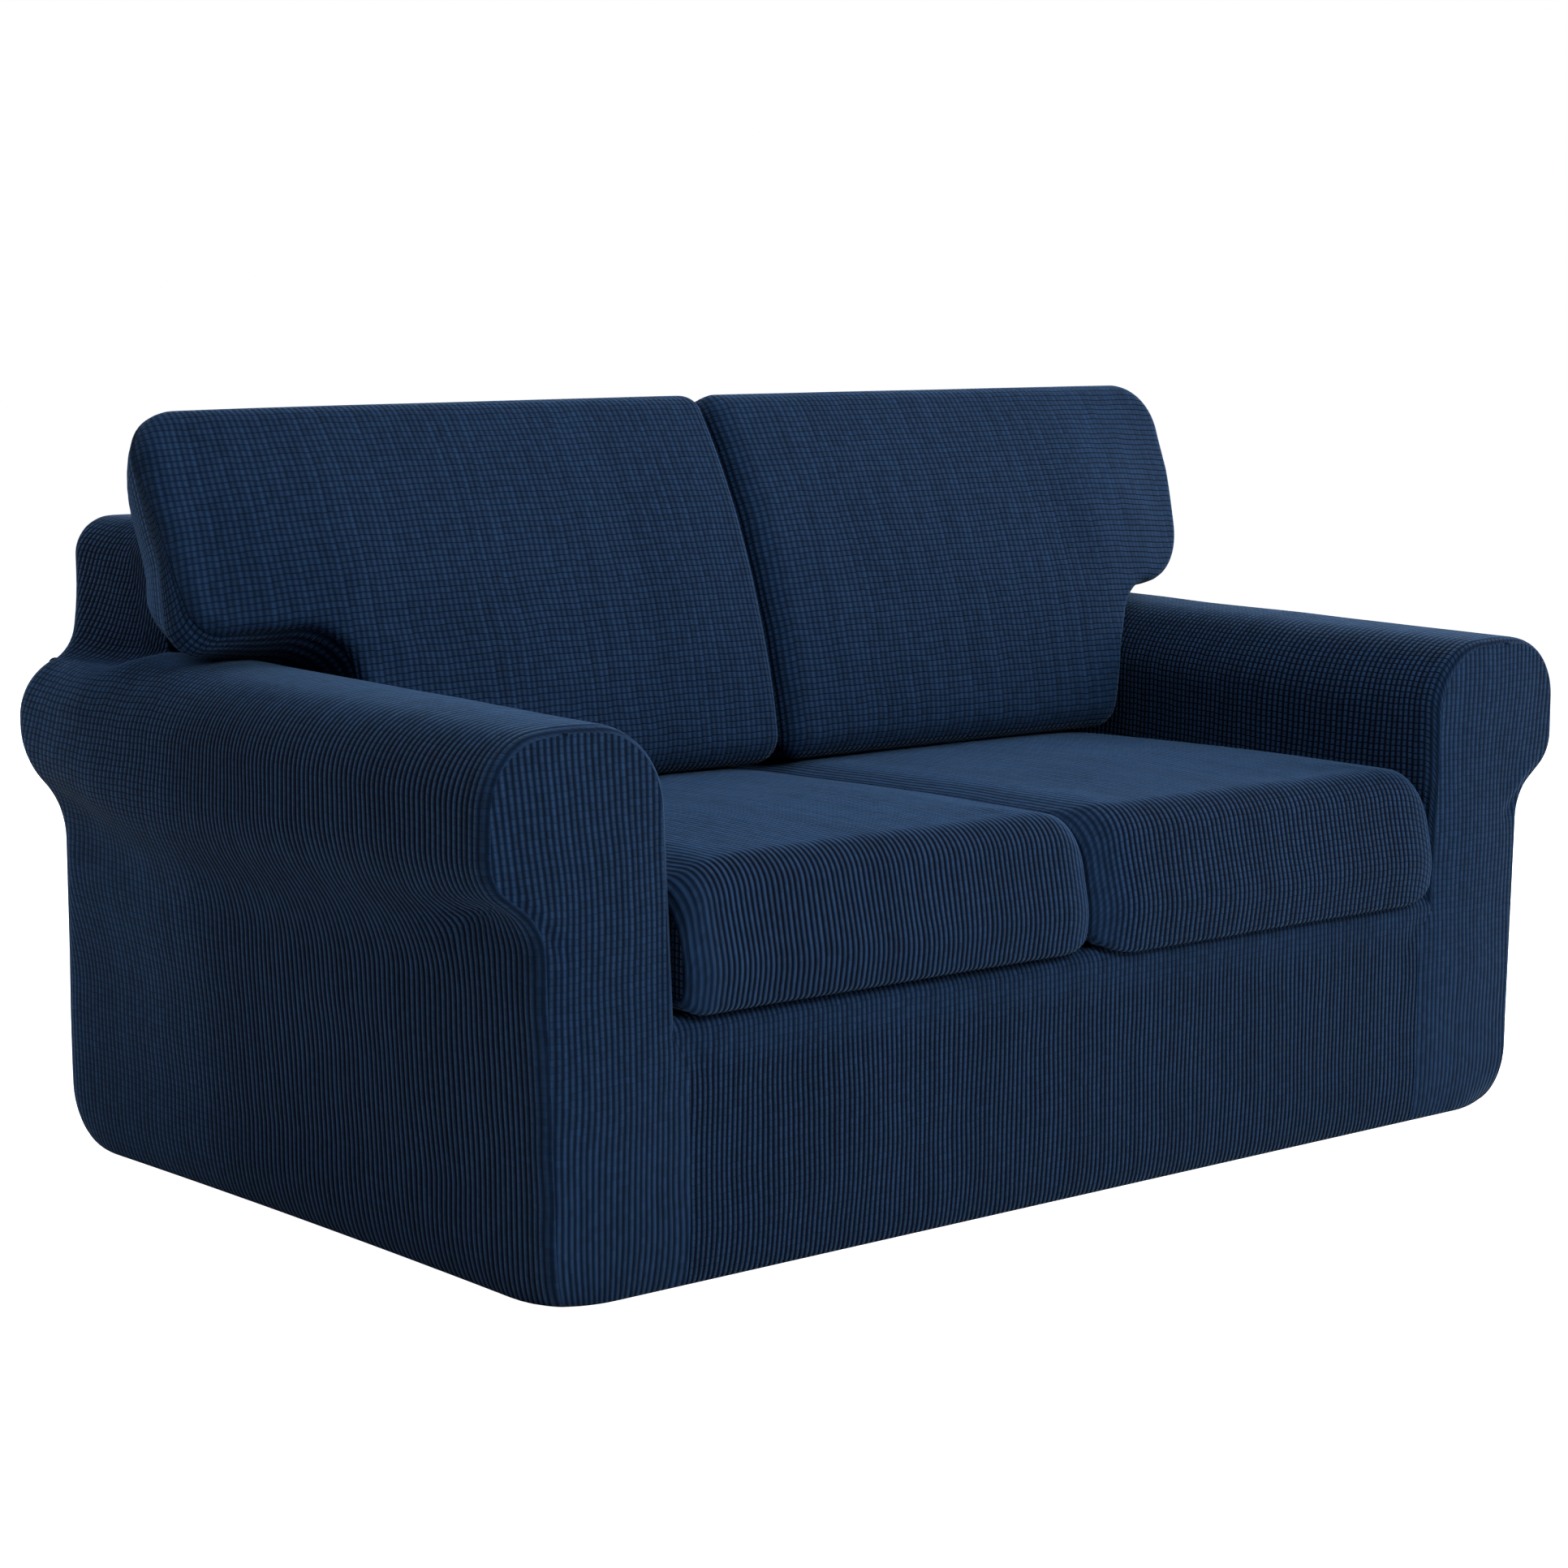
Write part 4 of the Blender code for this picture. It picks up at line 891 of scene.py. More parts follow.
def make_outside_back(context):
    """Rear panel of the base cover, stretched flat between the arms' and the back's soft edges."""
    base = context.scene.slipcover_base
    arm = arm_line(base, base.back, BACK_EDGE[1] + GAP)[: CREASE - 1 : -1]
    ear = ear_line(base, 1.0, BACK_EDGE[1] + GAP)[1:]
    edge = np.concatenate([arm, ear])
    points, widths, _ = level_panel(context, "outside_back", [(base.back, z, x) for x, z in edge])
    creases = placed(OUTSIDE_BACK_CREASES, (0.0, base.back, 0.0))
    cut = level_cut(widths, edge[:, 1])
    cloth_piece(context, "outside_back", drawn_in(base, points), cut, (0, 0.3, 0.4), creases)


# ------------------------------------------------------------------ seat cushion covers


def seat_line(base, crown, hang, softness, insets, more_inset=0.0):
    """Section of a seat cover, from its free edge under the front over the top to its free edge at the rear.
    softness 1 is the rounder outline at a side. The insets are those of the front and of the top."""
    foot = base.deck + CLEAR
    more = SEAT_SIDE_REACH * softness
    table = (
        # y, z, reach of its bend, share of the sides' further reach, points in it, points along the straight
        (-0.400, foot, 0, 0, 1, 8),
        (-0.482, foot, 0.005, 0, 5, 2),
        (-0.5045, foot - hang, 0.0125, 0, 11, 3),
        (-0.5120, 0.332, 0.016, 0, 7, 6),
        (-0.4880, 0.4470, 0.034, 1, 13, 22),
        (-0.220, 0.4500 + crown, 0.080, 0, 9, 26),
        (back_plane_y(SEAT_REAR_Z) - SEAT_REAR_CLEAR, SEAT_REAR_Z, 0.030, 0.5, 9, 6),
        (back_plane_y(foot) - SEAT_REAR_CLEAR, foot, 0.026, 0, 7, 3),
        (0.090, foot, 0, 0, 1, 0),
    )
    corners = [(y, z, reach + share * more, *counts) for y, z, reach, share, *counts in table]
    front, top = insets
    under, rear = np.array(SEAT_INSETS) * softness
    all_insets = np.array([under, under, front, front, top, top, rear, rear])
    return soft_line(shrunk(corners, all_insets + more_inset))


def seat_stations(label, side):
    """(x from the middle, softness, front's inset, top's inset, distance along the cloth) across a cover."""
    half = (SEAT_X[1] - SEAT_X[0]) / 2
    ends = SEAT_SIDES[label][::side]
    fine = SEAT_FINE * np.linspace(0, 1, ROWS["seat_end"]) ** 2
    even = np.linspace(SEAT_FINE - half, half - SEAT_FINE, ROWS["seat"])[1:-1]
    stations = []
    for x in [*(fine - half), *even, *(half - fine)[::-1]]:
        (front_width, front_inset), (top_width, top_drop) = ends[0 if x < 0 else 1]
        distance = half - abs(x)
        softness = 1 - math.sqrt(1 - max(0.0, 1 - distance / front_width) ** 2)
        drop = top_drop * max(0.0, 1 - distance / top_width) ** 2
        stations.append((x, softness, front_inset * softness, drop))
    stations = np.array(stations)
    run = travelled(stations[:, [0, 2]])
    return np.column_stack([stations, run - np.interp(0.0, stations[:, 0], run)])


def seat_creases(base):
    """Start and end of each pull on a seat cover, with x from the cover's middle; half width, height."""
    return (
        ((-0.20, -0.40, 0.450), (-0.05, -0.05, 0.455), 0.05, -0.0022),
        ((0.10, -0.42, 0.450), (0.20, -0.10, 0.452), 0.05, 0.0018),
        ((-0.27, base.front, 0.430), (-0.20, -0.36, 0.446), 0.020, 0.0022),
        ((0.27, base.front, 0.430), (0.19, -0.38, 0.446), 0.020, 0.0022),
    )


def make_seat(context, label, side):
    """One seat cushion cover: its top and front in one length of cloth, and a panel at each side."""
    base = context.scene.slipcover_base
    crown = context.scene.slipcover_cushions.seat_crown
    middle = side * sum(SEAT_X) / 2
    half = (SEAT_X[1] - SEAT_X[0]) / 2
    scale = rib_scale(context, "seat_" + label)
    points, cut = [], []
    for x, softness, *insets, run in seat_stations(label, side):
        line = seat_line(base, crown * (1 - (x / half) ** 2), SEAT_HANG[label], softness, insets)
        points.append(np.column_stack([np.full(len(line), middle + x), line]))
        length = travelled(line)
        length -= length[np.argmax(line[:, 0] > SEAT_TOP_Y)]
        cut.append(np.stack([np.full(len(line), run * scale), length / STRETCH_ALONG], axis=1))
    name = f"seat_{label}_"
    inside = (middle, -0.15, 0.37)
    cloth_piece(
        context,
        name + "top",
        np.array(points),
        np.array(cut),
        inside,
        creases=placed(seat_creases(base), (middle, 0.0, 0.0)),
        rows=lambda x, y, z: fade(x, *SEAT_ROWS),
        ribs=lambda x, y, z: fade(half - np.abs(x - middle), *SEAT_RIBS),
    )
    shares = np.linspace(0, 1, ROWS["seat_side"])
    ends = (("inner_side", -side), ("outer_side", side))
    for (end, way), edges in zip(ends, SEAT_SIDES[label]):
        outline = seat_line(base, 0.0, SEAT_HANG[label], 1.0, [inset for _, inset in edges], GAP)
        lower, upper = resampled(outline, shares / 2), resampled(outline, 1 - shares / 2)
        across = across_cells("seat_side")[None, :, None]
        flat = (lower[:, None] * (1 - across) + upper[:, None] * across)[:-1]
        panel = np.concatenate([np.full((*flat.shape[:2], 1), middle + way * half), flat], axis=-1)
        cloth_piece(context, name + end, panel, flat / STRETCH_ALONG, inside)


# ------------------------------------------------------------------ back cushion covers

ARC = 17  # points in each bend of a cushion's outline
FACE_CELLS = {"foot": 104, "neck": 34, "under": 34, "wing": 52}  # divisions along parts of the T's outline


def in_place(points, side):
    """Points of a back cushion cover (x, height, depth), from its leaning plane to the room."""
    x, height, depth = np.moveaxis(np.asarray(points), -1, 0)
    y = FACE_FOOT_Y + height * math.sin(LEAN) + depth * math.cos(LEAN)
    z = FACE_FOOT_Z + height * math.cos(LEAN) - depth * math.sin(LEAN)
    return np.stack([side * x, y, z], axis=-1)


class Cushion:
    """The T's outline of one back cushion cover, from its corner table."""

    def __init__(self, corners):
        self.table = np.array(corners)

    def column(self, index):
        return self.table[:, index]

    def outline(self, depths, insets=None, raised=0.0):
        """The closed outline as runs, one for each corner, of points (x, height, depth). Each corner is taken
        at its own depth and moved inwards by its own inset; raised lifts the foot."""
        x, front, rear = self.column(0), self.column(1), self.column(2)
        places = np.stack([x, front + (rear - front) * depths / CUSHION_DEPTH], axis=1)
        if insets is not None:
            ways = np.roll(places, -1, axis=0) - places
            ways /= np.linalg.norm(ways, axis=1, keepdims=True)
            inward = np.stack([-ways[:, 1], ways[:, 0]], axis=1)
            total = inward + np.roll(inward, 1, axis=0)
            places = places + total * (2 * insets / (total**2).sum(1))[:, None]
        for low, above in ((0, 7), (1, 2)):
            rise = places[above] - places[low]
            places[low] = places[low] + rise * raised / rise[1]
        runs = []
        for i, reach in enumerate(self.column(3)):
            arc = bend(places[i - 1], places[i], places[(i + 1) % len(places)], reach, ARC)
            runs.append(np.column_stack([arc, np.full(ARC, depths[i])]))
        return runs

    def loop(self, *args, **options):
        """The outline as one closed loop with a fixed count of points in each part of the T, and the indices
        where the parts start: foot, neck, wing's underside, wing, top over the wing, top, inner side."""
        runs = self.outline(*args, **options)
        closed = np.concatenate([*runs, runs[0][:1]])
        along = travelled(closed[:, :2])
        foot_in, foot_out, _, neck, low, _, high, top_in = along[ARC // 2 :: ARC]
        neck_x = np.interp(neck, along, closed[:, 0])
        end = 7 * ARC - 1  # the last point of the bend at the wing's top
        split = along[end] + closed[end, 0] - neck_x
        cells = FACE_CELLS
        parts = (
            (foot_in, foot_out, gathered(cells["foot"])),
            (foot_out, neck, gathered(cells["neck"], NECK_PACKING)),
            (neck, low, gathered(cells["under"])),
            (low, high, gathered(cells["wing"])),
            (high, split, 1 - gathered(cells["under"])[::-1]),
            (split, top_in, gathered(cells["foot"])),
        )
        places, ends = [], []
        for start, stop, shares in parts:
            ends.append(sum(len(p) for p in places))
            places.append(start + (stop - start) * shares[:-1])
        ends.append(sum(len(p) for p in places))
        column = {k: np.interp(np.concatenate(places), along, closed[:, k]) for k in (0, 1)}
        side = np.concatenate([column[1][ends[1] : ends[2]], self.divider_heights(column[1], ends)])
        rise = (side - side[0]) / (side[-1] - side[0])
        around = along[-1] + foot_in - top_in
        places.append(top_in + around * (1 - rise[::-1])[:-1])
        where = np.concatenate(places) % along[-1]
        return np.stack([np.interp(where, along, closed[:, k]) for k in range(3)], axis=1), ends

    def divider_heights(self, heights, ends):
        """Heights of the points that divide the T's body from its wing, from the neck up to the top."""
        low, high = heights[ends[3]], heights[ends[4]]
        wing = heights[ends[3] : ends[4] + 1]
        return heights[ends[2]] + (heights[ends[5]] - heights[ends[2]]) * (wing - low) / (high - low)


def patch(bottom, top, left, right):
    """Grid of points between four edges; bottom and top run to the right, left and right run up."""
    u = (travelled(bottom) / travelled(bottom)[-1])[None, :, None]
    v = (travelled(left) / travelled(left)[-1])[:, None, None]
    ruled = (1 - v) * bottom[None] + v * top[None] + (1 - u) * left[:, None] + u * right[:, None]
    return ruled - (1 - v) * ((1 - u) * bottom[0] + u * bottom[-1]) - v * ((1 - u) * top[0] + u * top[-1])


def face_grid(loop, ends):
    """Points (x, height) of the T-shaped panel, in rows up from the foot, and the first row and column beyond
    the missing corner below the wing. All its edges are points of the loop."""
    foot_out, neck, low, high, split, top_in = ends[1:]
    flat = loop[:, :2]
    closing = np.concatenate([flat[top_in:], flat[:1]])[::-1]
    wing_side = flat[low : high + 1]
    rise = (wing_side[:, 1] - flat[low, 1]) / (flat[high, 1] - flat[low, 1])
    divider = flat[neck] + (flat[split] - flat[neck]) * rise[:, None]
    body = patch(
        flat[: foot_out + 1],
        flat[split : top_in + 1][::-1],
        closing,
        np.concatenate([flat[foot_out:neck], divider]),
    )
    wing = patch(flat[neck : low + 1], flat[high : split + 1][::-1], divider, wing_side)
    below = len(body) - len(wing)
    blank = np.repeat(wing[:1, 1:], below, axis=0)
    return np.concatenate([body, np.concatenate([blank, wing[:, 1:]])], axis=1), (below, body.shape[1] - 1)


def forward(cushions, flat):
    """How far the face stands in front of its plane: its belly and its crown."""
    x, height = flat[..., 0], flat[..., 1]

    def risen(distance):
        return 1 - (1 - np.clip(distance / CROWN_REACH, 0, 1)) ** 2

    ends = risen(x) * risen(CUSHION_TOP - height)
    body = ends * risen(height) * risen(CROWN_X[0] - x)
    wing = ends * risen(height - WING_FOOT) * risen(CROWN_X[1] - x)
    belly = np.clip(1 - (2 * height / CUSHION_TOP - 1) ** 2, 0, 1)
    return cushions.belly * belly * fade(x, *BELLY_END) + CUSHION_CROWN * (1 - (1 - body) * (1 - wing))


def over_edge(flat, loop):
    """Depth added near the face's edge, where the cloth turns back with the radius it has there, and how much
    further the cloth reaches there than its flat outline, as a vector."""
    along = np.roll(loop, -1, axis=0) - loop
    depth, reach = np.zeros(flat.shape[:2]), np.zeros(flat.shape)
    for i, row in enumerate(flat):
        offset = row[:, None, :] - loop[:, :2]
        share = np.clip((offset * along[:, :2]).sum(-1) / (along[:, :2] ** 2).sum(-1), 0, 1)
        away = offset - share[..., None] * along[:, :2]
        distance = np.linalg.norm(away, axis=-1)
        k = distance.argmin(-1)
        j = np.arange(len(k))
        radius = loop[k, 2] + along[k, 2] * share[j, k]
        left = 1 - np.clip(distance[j, k] / radius, 0, 1)
        depth[i] = radius * (1 - np.sqrt(1 - left**2))
        out = np.stack([along[k, 1], -along[k, 0]], axis=1)
        out /= np.linalg.norm(out, axis=1, keepdims=True)
        reach[i] = out * (radius * (np.arcsin(left) - left))[:, None]
    return depth, reach


FACE_CREASES = (
    # from x, height and depth to x, height and depth; half width, height of the ridge
    ((0.640, 0.235, -0.02), (0.520, 0.150, -0.03), 0.022, 0.0030),
    ((0.610, 0.170, -0.02), (0.500, 0.330, -0.03), 0.035, -0.0020),
    ((0.745, 0.270, -0.02), (0.640, 0.330, -0.03), 0.030, 0.0022),
    ((0.120, 0.060, -0.02), (0.420, 0.045, -0.03), 0.022, 0.0020),
)


def make_back_cushion(context, label, side):
    """One back cushion cover: its T-shaped face, the boxing round it and the rear panel."""
    cushions = context.scene.slipcover_cushions
    cushion = Cushion(CUSHIONS[label])
    inside = in_place((0.35, 0.25, 0.08), side)
    rim = cushion.column(4)
    loop, ends = cushion.loop(rim)
    flat, (below, beside) = face_grid(loop, ends)
    depth, reach = over_edge(flat, loop)
    face = np.concatenate([flat, (depth - forward(cushions, flat))[..., None]], axis=-1)
    to_cut = (side * rib_scale(context, "cushion_" + label), 1 / STRETCH_ALONG)
    cloth_piece(
        context,
        "back_face_" + label,
        in_place(face, side),
        (flat + reach) * to_cut,
        inside,
        creases=[(in_place(start, side), in_place(end, side), *sizes) for start, end, *sizes in FACE_CREASES],
        kept=lambda row, column: (row >= below) | (column < beside),
        rows=lambda x, y, z: fade(x, *FACE_ROWS),
        ribs=lambda x, y, z: fade(x, *FACE_RIBS),
    )
    make_boxing(context, label, side, cushion, inside)
    depths = np.full(len(rim), CUSHION_DEPTH)
    rear, (below, beside) = face_grid(*cushion.loop(depths, cushion.column(6) + GAP, REAR_SLOT))
    panel = np.concatenate([rear, np.full((*rear.shape[:2], 1), CUSHION_DEPTH)], axis=-1)
    cloth_piece(
        context,
        "back_rear_" + label,
        in_place(panel, side),
        rear * to_cut,
        inside,
        kept=lambda row, column: (row >= below) | (column < beside),
    )


def make_boxing(context, label, side, cushion, inside):
    """The strip sewn round a back cushion cover, from the face's seam to the rear seam."""
    rim, edge_depth, edge_inset, bulge = (cushion.column(k) for k in (4, 5, 6, 7))
    flat_end = CUSHION_DEPTH - edge_depth
    rows = []
    for t in np.linspace(0, 1, ROWS["boxing"]):
        rows.append((rim + t * (flat_end - rim), -bulge * np.sin(BULGE_SPAN * np.pi * t), 1 - t))
    for angle in np.linspace(0, math.pi / 2, ROWS["boxing"])[1:]:
        turned_in = edge_inset * (1 - math.cos(angle)) ** EDGE_POWER
        inset = turned_in - BULGE_LEFT * bulge * (1 - math.sin(angle))
        rows.append((flat_end + edge_depth * math.sin(angle), inset, 0.0))
    first, _ = cushion.loop(rim)
    bow = forward(context.scene.slipcover_cushions, first[:, :2])
    rings = []
    for depth, inset, bowed in rows:
        loop, _ = cushion.loop(depth, inset)
        rings.append(np.column_stack([loop[:, :2], loop[:, 2] - bowed * bow]))
    rings = np.array(rings)
    around = travelled(np.concatenate([rings[0], rings[0][:1]]))
    across = travelled(rings).mean(axis=1)
    widths = across[:, None] * rib_scale(context, "boxing")
    cut = np.stack(np.broadcast_arrays(widths, around[None, :] / STRETCH_ALONG), axis=-1)
    cloth_piece(
        context,
        "back_boxing_" + label,
        in_place(rings, side),
        cut,
        inside,
        closed=True,
        seam=BOXING_SEAM,
        ribs=lambda x, y, z: BOXING_RIBS,
    )


# ------------------------------------------------------------------ materials


def linear(code):
    """An sRGB hex colour as linear RGBA."""
    values = [int(code[k : k + 2], 16) / 255 for k in (1, 3, 5)]
    return (*(v / 12.92 if v <= 0.04045 else ((v + 0.055) / 1.055) ** 2.4 for v in values), 1.0)


def add_node(tree, kind, inputs=(), **settings):
    """A node of this kind with its settings, and inputs given as (socket, value or the output to link)."""
    node = tree.nodes.new(kind)
    for name, value in settings.items():
        setattr(node, name, value)
    for socket, value in inputs:
        if isinstance(value, bpy.types.NodeSocket):
            tree.links.new(value, node.inputs[socket])
        else:
            node.inputs[socket].default_value = value
    return node


def maths(tree, operation, *values):
    """Output of a maths node on these values and outputs."""
    return add_node(tree, "ShaderNodeMath", enumerate(values), operation=operation).outputs[0]


def ranged(tree, value, *limits, **settings):
    """Output of a map range node on this output, with limits (socket, value)."""
    return add_node(tree, "ShaderNodeMapRange", [("Value", value), *limits], **settings).outputs[0]


def noise(tree, place, scale, detail):
    """Output of a noise texture."""
    inputs = [("Vector", place), ("Scale", scale), ("Detail", detail)]
    return add_node(tree, "ShaderNodeTexNoise", inputs).outputs[0]


def new_material(name):
    """A material without nodes, and its node tree."""
    material = bpy.data.materials.new(name)
    material.use_nodes = True
    material.node_tree.nodes.clear()
    return material, material.node_tree


def finish_material(material, inputs):
    """Give a material its shader, with these inputs."""
    shader = add_node(material.node_tree, "ShaderNodeBsdfPrincipled", inputs)
    add_node(material.node_tree, "ShaderNodeOutputMaterial", [("Surface", shader.outputs[0])])
    return material


def white_noise(tree, dimensions, socket, source):
    """A random value for each whole number, or for each pair of them."""
    inputs = [(socket, source)]
    return add_node(tree, "ShaderNodeTexWhiteNoise", inputs, noise_dimensions=dimensions).outputs["Value"]


def rib_pattern(tree, cloth):
    """Height from 0 in the valley between two ribs to 1 on a rib, notched by the rows across them, and random
    values for each rib and for each brick. The ribs and rows wander a little, as they do in a knit that is
    pulled over a shape."""
    place = add_node(tree, "ShaderNodeUVMap", uv_map="cut").outputs[0]
    across, along, _ = add_node(tree, "ShaderNodeSeparateXYZ", [(0, place)]).outputs
    # ribs that stray by up to a rib's width or so within some 0.15 m
    drift = noise(tree, place, 7.0, 1.0)
    ribs = maths(tree, "MULTIPLY_ADD", drift, 1.6, maths(tree, "MULTIPLY", across, 1 / cloth.rib))
    number = maths(tree, "FLOOR", ribs)
    wave = maths(tree, "PINGPONG", ribs, 0.5)
    rib = ranged(tree, wave, ("From Min", 0.05), ("From Max", 0.44), interpolation_type="SMOOTHSTEP")
    own = white_noise(tree, "1D", "W", number)
    # rows that wave a little and step a little from rib to rib
    wobble = noise(tree, place, 24.0, 1.0)
    rows = maths(tree, "MULTIPLY_ADD", wobble, 0.6, maths(tree, "MULTIPLY", along, 1 / cloth.row))
    rows = maths(tree, "MULTIPLY_ADD", own, 0.10, rows)
    brick = add_node(tree, "ShaderNodeCombineXYZ", [(0, number), (1, maths(tree, "FLOOR", rows))]).outputs[0]
    brick = white_noise(tree, "2D", "Vector", brick)
    # a narrow groove between two rows, and tops that stay fairly light where the ribs hardly show
    groove = (("From Max", 0.19), ("To Min", 0.80), ("To Max", 0.0))
    notch = ranged(tree, maths(tree, "PINGPONG", rows, 0.5), *groove, interpolation_type="SMOOTHSTEP")
    ribbed = add_node(tree, "ShaderNodeAttribute", attribute_name="ribs").outputs["Fac"]
    rib = ranged(tree, ribbed, ("To Min", 0.78), ("To Max", rib))
    shown = add_node(tree, "ShaderNodeAttribute", attribute_name="rows").outputs["Fac"]
    notch = maths(tree, "MULTIPLY", notch, shown)
    height = maths(tree, "MULTIPLY", rib, maths(tree, "SUBTRACT", 1.0, notch))
    return place, height, own, brick


def knit_material(cloth):
    """Polyester and elastane stretch knit, piece-dyed deep navy. Rounded ribs notched by rows across them
    give small bricks. The ribs' tops are lighter than the near-black valleys, partly the knit's own two tones
    and partly painted shade between the ribs, and where the matte surface is seen edge on it gets a painted
    sheen, a pale lift of its colour, left off faces turned down."""
    name = "polyester_rib_knit_navy"
    if name in bpy.data.materials:
        return bpy.data.materials[name]
    material, tree = new_material(name)
    place, height, own, brick = rib_pattern(tree, cloth)
    # painted sheen: where the cloth is seen edge on, its colour is lifted towards the ribs' tops, as they
    # hide the valleys there, and brightened as if light caught the fibre ends; faces turned down are left
    # out, as painted shade
    edge_on = add_node(tree, "ShaderNodeLayerWeight", [("Blend", 0.5)]).outputs["Facing"]
    hidden_valleys_and_painted_sheen = ranged(tree, edge_on, ("From Min", 0.50), ("From Max", 0.90), ("To Max", 0.75))
    normal = add_node(tree, "ShaderNodeNewGeometry").outputs["Normal"]
    upward = add_node(tree, "ShaderNodeSeparateXYZ", [(0, normal)]).outputs["Z"]
    # painted shade: faces turned down, as under an arm's roll, get no lift
    hidden_valleys_and_painted_sheen = maths(tree, "MULTIPLY", hidden_valleys_and_painted_sheen, ranged(tree, upward, ("From Min", -0.6), ("From Max", -0.1)))
    seen = maths(tree, "MAXIMUM", height, hidden_valleys_and_painted_sheen)
    # painted sheen: up to 1.75 times the colour's brightness where the cloth is seen edge on
    painted_sheen_gain = maths(tree, "MULTIPLY_ADD", hidden_valleys_and_painted_sheen, 1.0, 1.0)
    fuzz = noise(tree, place, 900.0, 2.0)
    cloud = noise(tree, place, 6.0, 3.0)
    # painted shade: the colour falls from the crest colour to the near-black valley colour with the ribs'
    # height, in the valleys and in the grooves between rows, partly the knit's own two tones
    yarn_and_valley_shade = [("Factor", seen), (6, linear(cloth.valley)), (7, linear(cloth.crest))]
    colour = add_node(tree, "ShaderNodeMix", yarn_and_valley_shade, data_type="RGBA").outputs[2]
    # every rib and brick takes the dye a little differently, and so do larger areas and single fibres
    tone = maths(tree, "MULTIPLY_ADD", own, 0.24, 0.44)
    for source, share in ((brick, 0.28), (cloud, 0.25), (fuzz, 0.35)):
        tone = maths(tree, "MULTIPLY_ADD", source, share, tone)
    # the dyed tone times the painted sheen gain
    tone = maths(tree, "MULTIPLY", tone, painted_sheen_gain)
    shade = add_node(tree, "ShaderNodeVectorMath", [(0, colour), ("Scale", tone)], operation="SCALE")
    ribs = [("Strength", 1.0), ("Distance", cloth.relief), ("Height", height)]
    ribs = add_node(tree, "ShaderNodeBump", ribs).outputs[0]
    nap = [("Strength", 0.35), ("Distance", 0.0003), ("Height", fuzz), ("Normal", ribs)]
    inputs = [
        ("Base Color", shade.outputs[0]),
        ("Roughness", maths(tree, "MULTIPLY_ADD", fuzz, 0.16, 0.80)),
        ("Normal", add_node(tree, "ShaderNodeBump", nap).outputs[0]),
        ("Specular IOR Level", 0.06),
        ("Sheen Weight", maths(tree, "MULTIPLY", seen, 0.40)),
        ("Sheen Roughness", 0.28),
        ("Sheen Tint", linear("#849fb0")),
    ]
    return finish_material(material, inputs)


def knit_back_material(cloth):
    """Reverse of the same knit: flatter, with low ribs and no lighter tops, so it looks plain and darker."""
    name = "polyester_rib_knit_navy_reverse"
    if name in bpy.data.materials:
        return bpy.data.materials[name]
    material, tree = new_material(name)
    height = rib_pattern(tree, cloth)[1]
    # darker in the valleys between the ribs, partly the knit's own tone and partly painted shade
    yarn_and_valley_shade = [("Factor", height), (6, linear("#0e1a2e")), (7, linear("#1e2f4a"))]
    colour = add_node(tree, "ShaderNodeMix", yarn_and_valley_shade, data_type="RGBA").outputs[2]
    ribs = [("Strength", 0.5), ("Distance", cloth.relief / 2), ("Height", height)]
    ribs = add_node(tree, "ShaderNodeBump", ribs).outputs[0]
    inputs = [("Base Color", colour), ("Roughness", 0.92), ("Normal", ribs), ("Specular IOR Level", 0.1)]
    return finish_material(material, inputs)


def floor_material(studio):
    """Matte white painted board: even and pale, with only a faint roller stipple."""
    material, tree = new_material("matte_paint_white")
    place = add_node(tree, "ShaderNodeTexCoord").outputs["Object"]
    stipple = [("Strength", 0.1), ("Distance", 0.0002), ("Height", noise(tree, place, 300.0, 2.0))]
    seen = add_node(tree, "ShaderNodeLightPath").outputs["Is Camera Ray"]
    inputs = [
        ("Base Color", linear(studio.floor)),
        ("Roughness", 0.9),
        ("Normal", add_node(tree, "ShaderNodeBump", stipple).outputs[0]),
        ("Specular IOR Level", 0.1),
        ("Emission Color", (1, 1, 1, 1)),
        ("Emission Strength", maths(tree, "MULTIPLY", seen, FLOOR_GLOW)),
    ]
    return finish_material(material, inputs)


# ------------------------------------------------------------------ stage

LIGHTS = (
    # name, place, size, watts
    ("front", (0.1, -3.9, 2.9), 1.8, 118.0),
    ("right", (3.8, -0.6, 2.2), 2.5, 112.0),
    ("top", (0.3, -0.4, 4.2), 3.0, 44.0),
    ("behind_left", (-2.5, 2.5, 3.5), 2.5, 84.0),
    ("behind", (2.2, 4.6, 1.6), 2.5, 90.0),
)
AIM = (0.0, 0.0, 0.4)  # what the lights face
AMBIENT = 0.03  # light from the backdrop, which looks white to the camera
FLOOR_SIZE = 60.0
FLOOR_GLOW = 1.0  # keeps the floor as white as the backdrop, with only a faint shadow at the hem


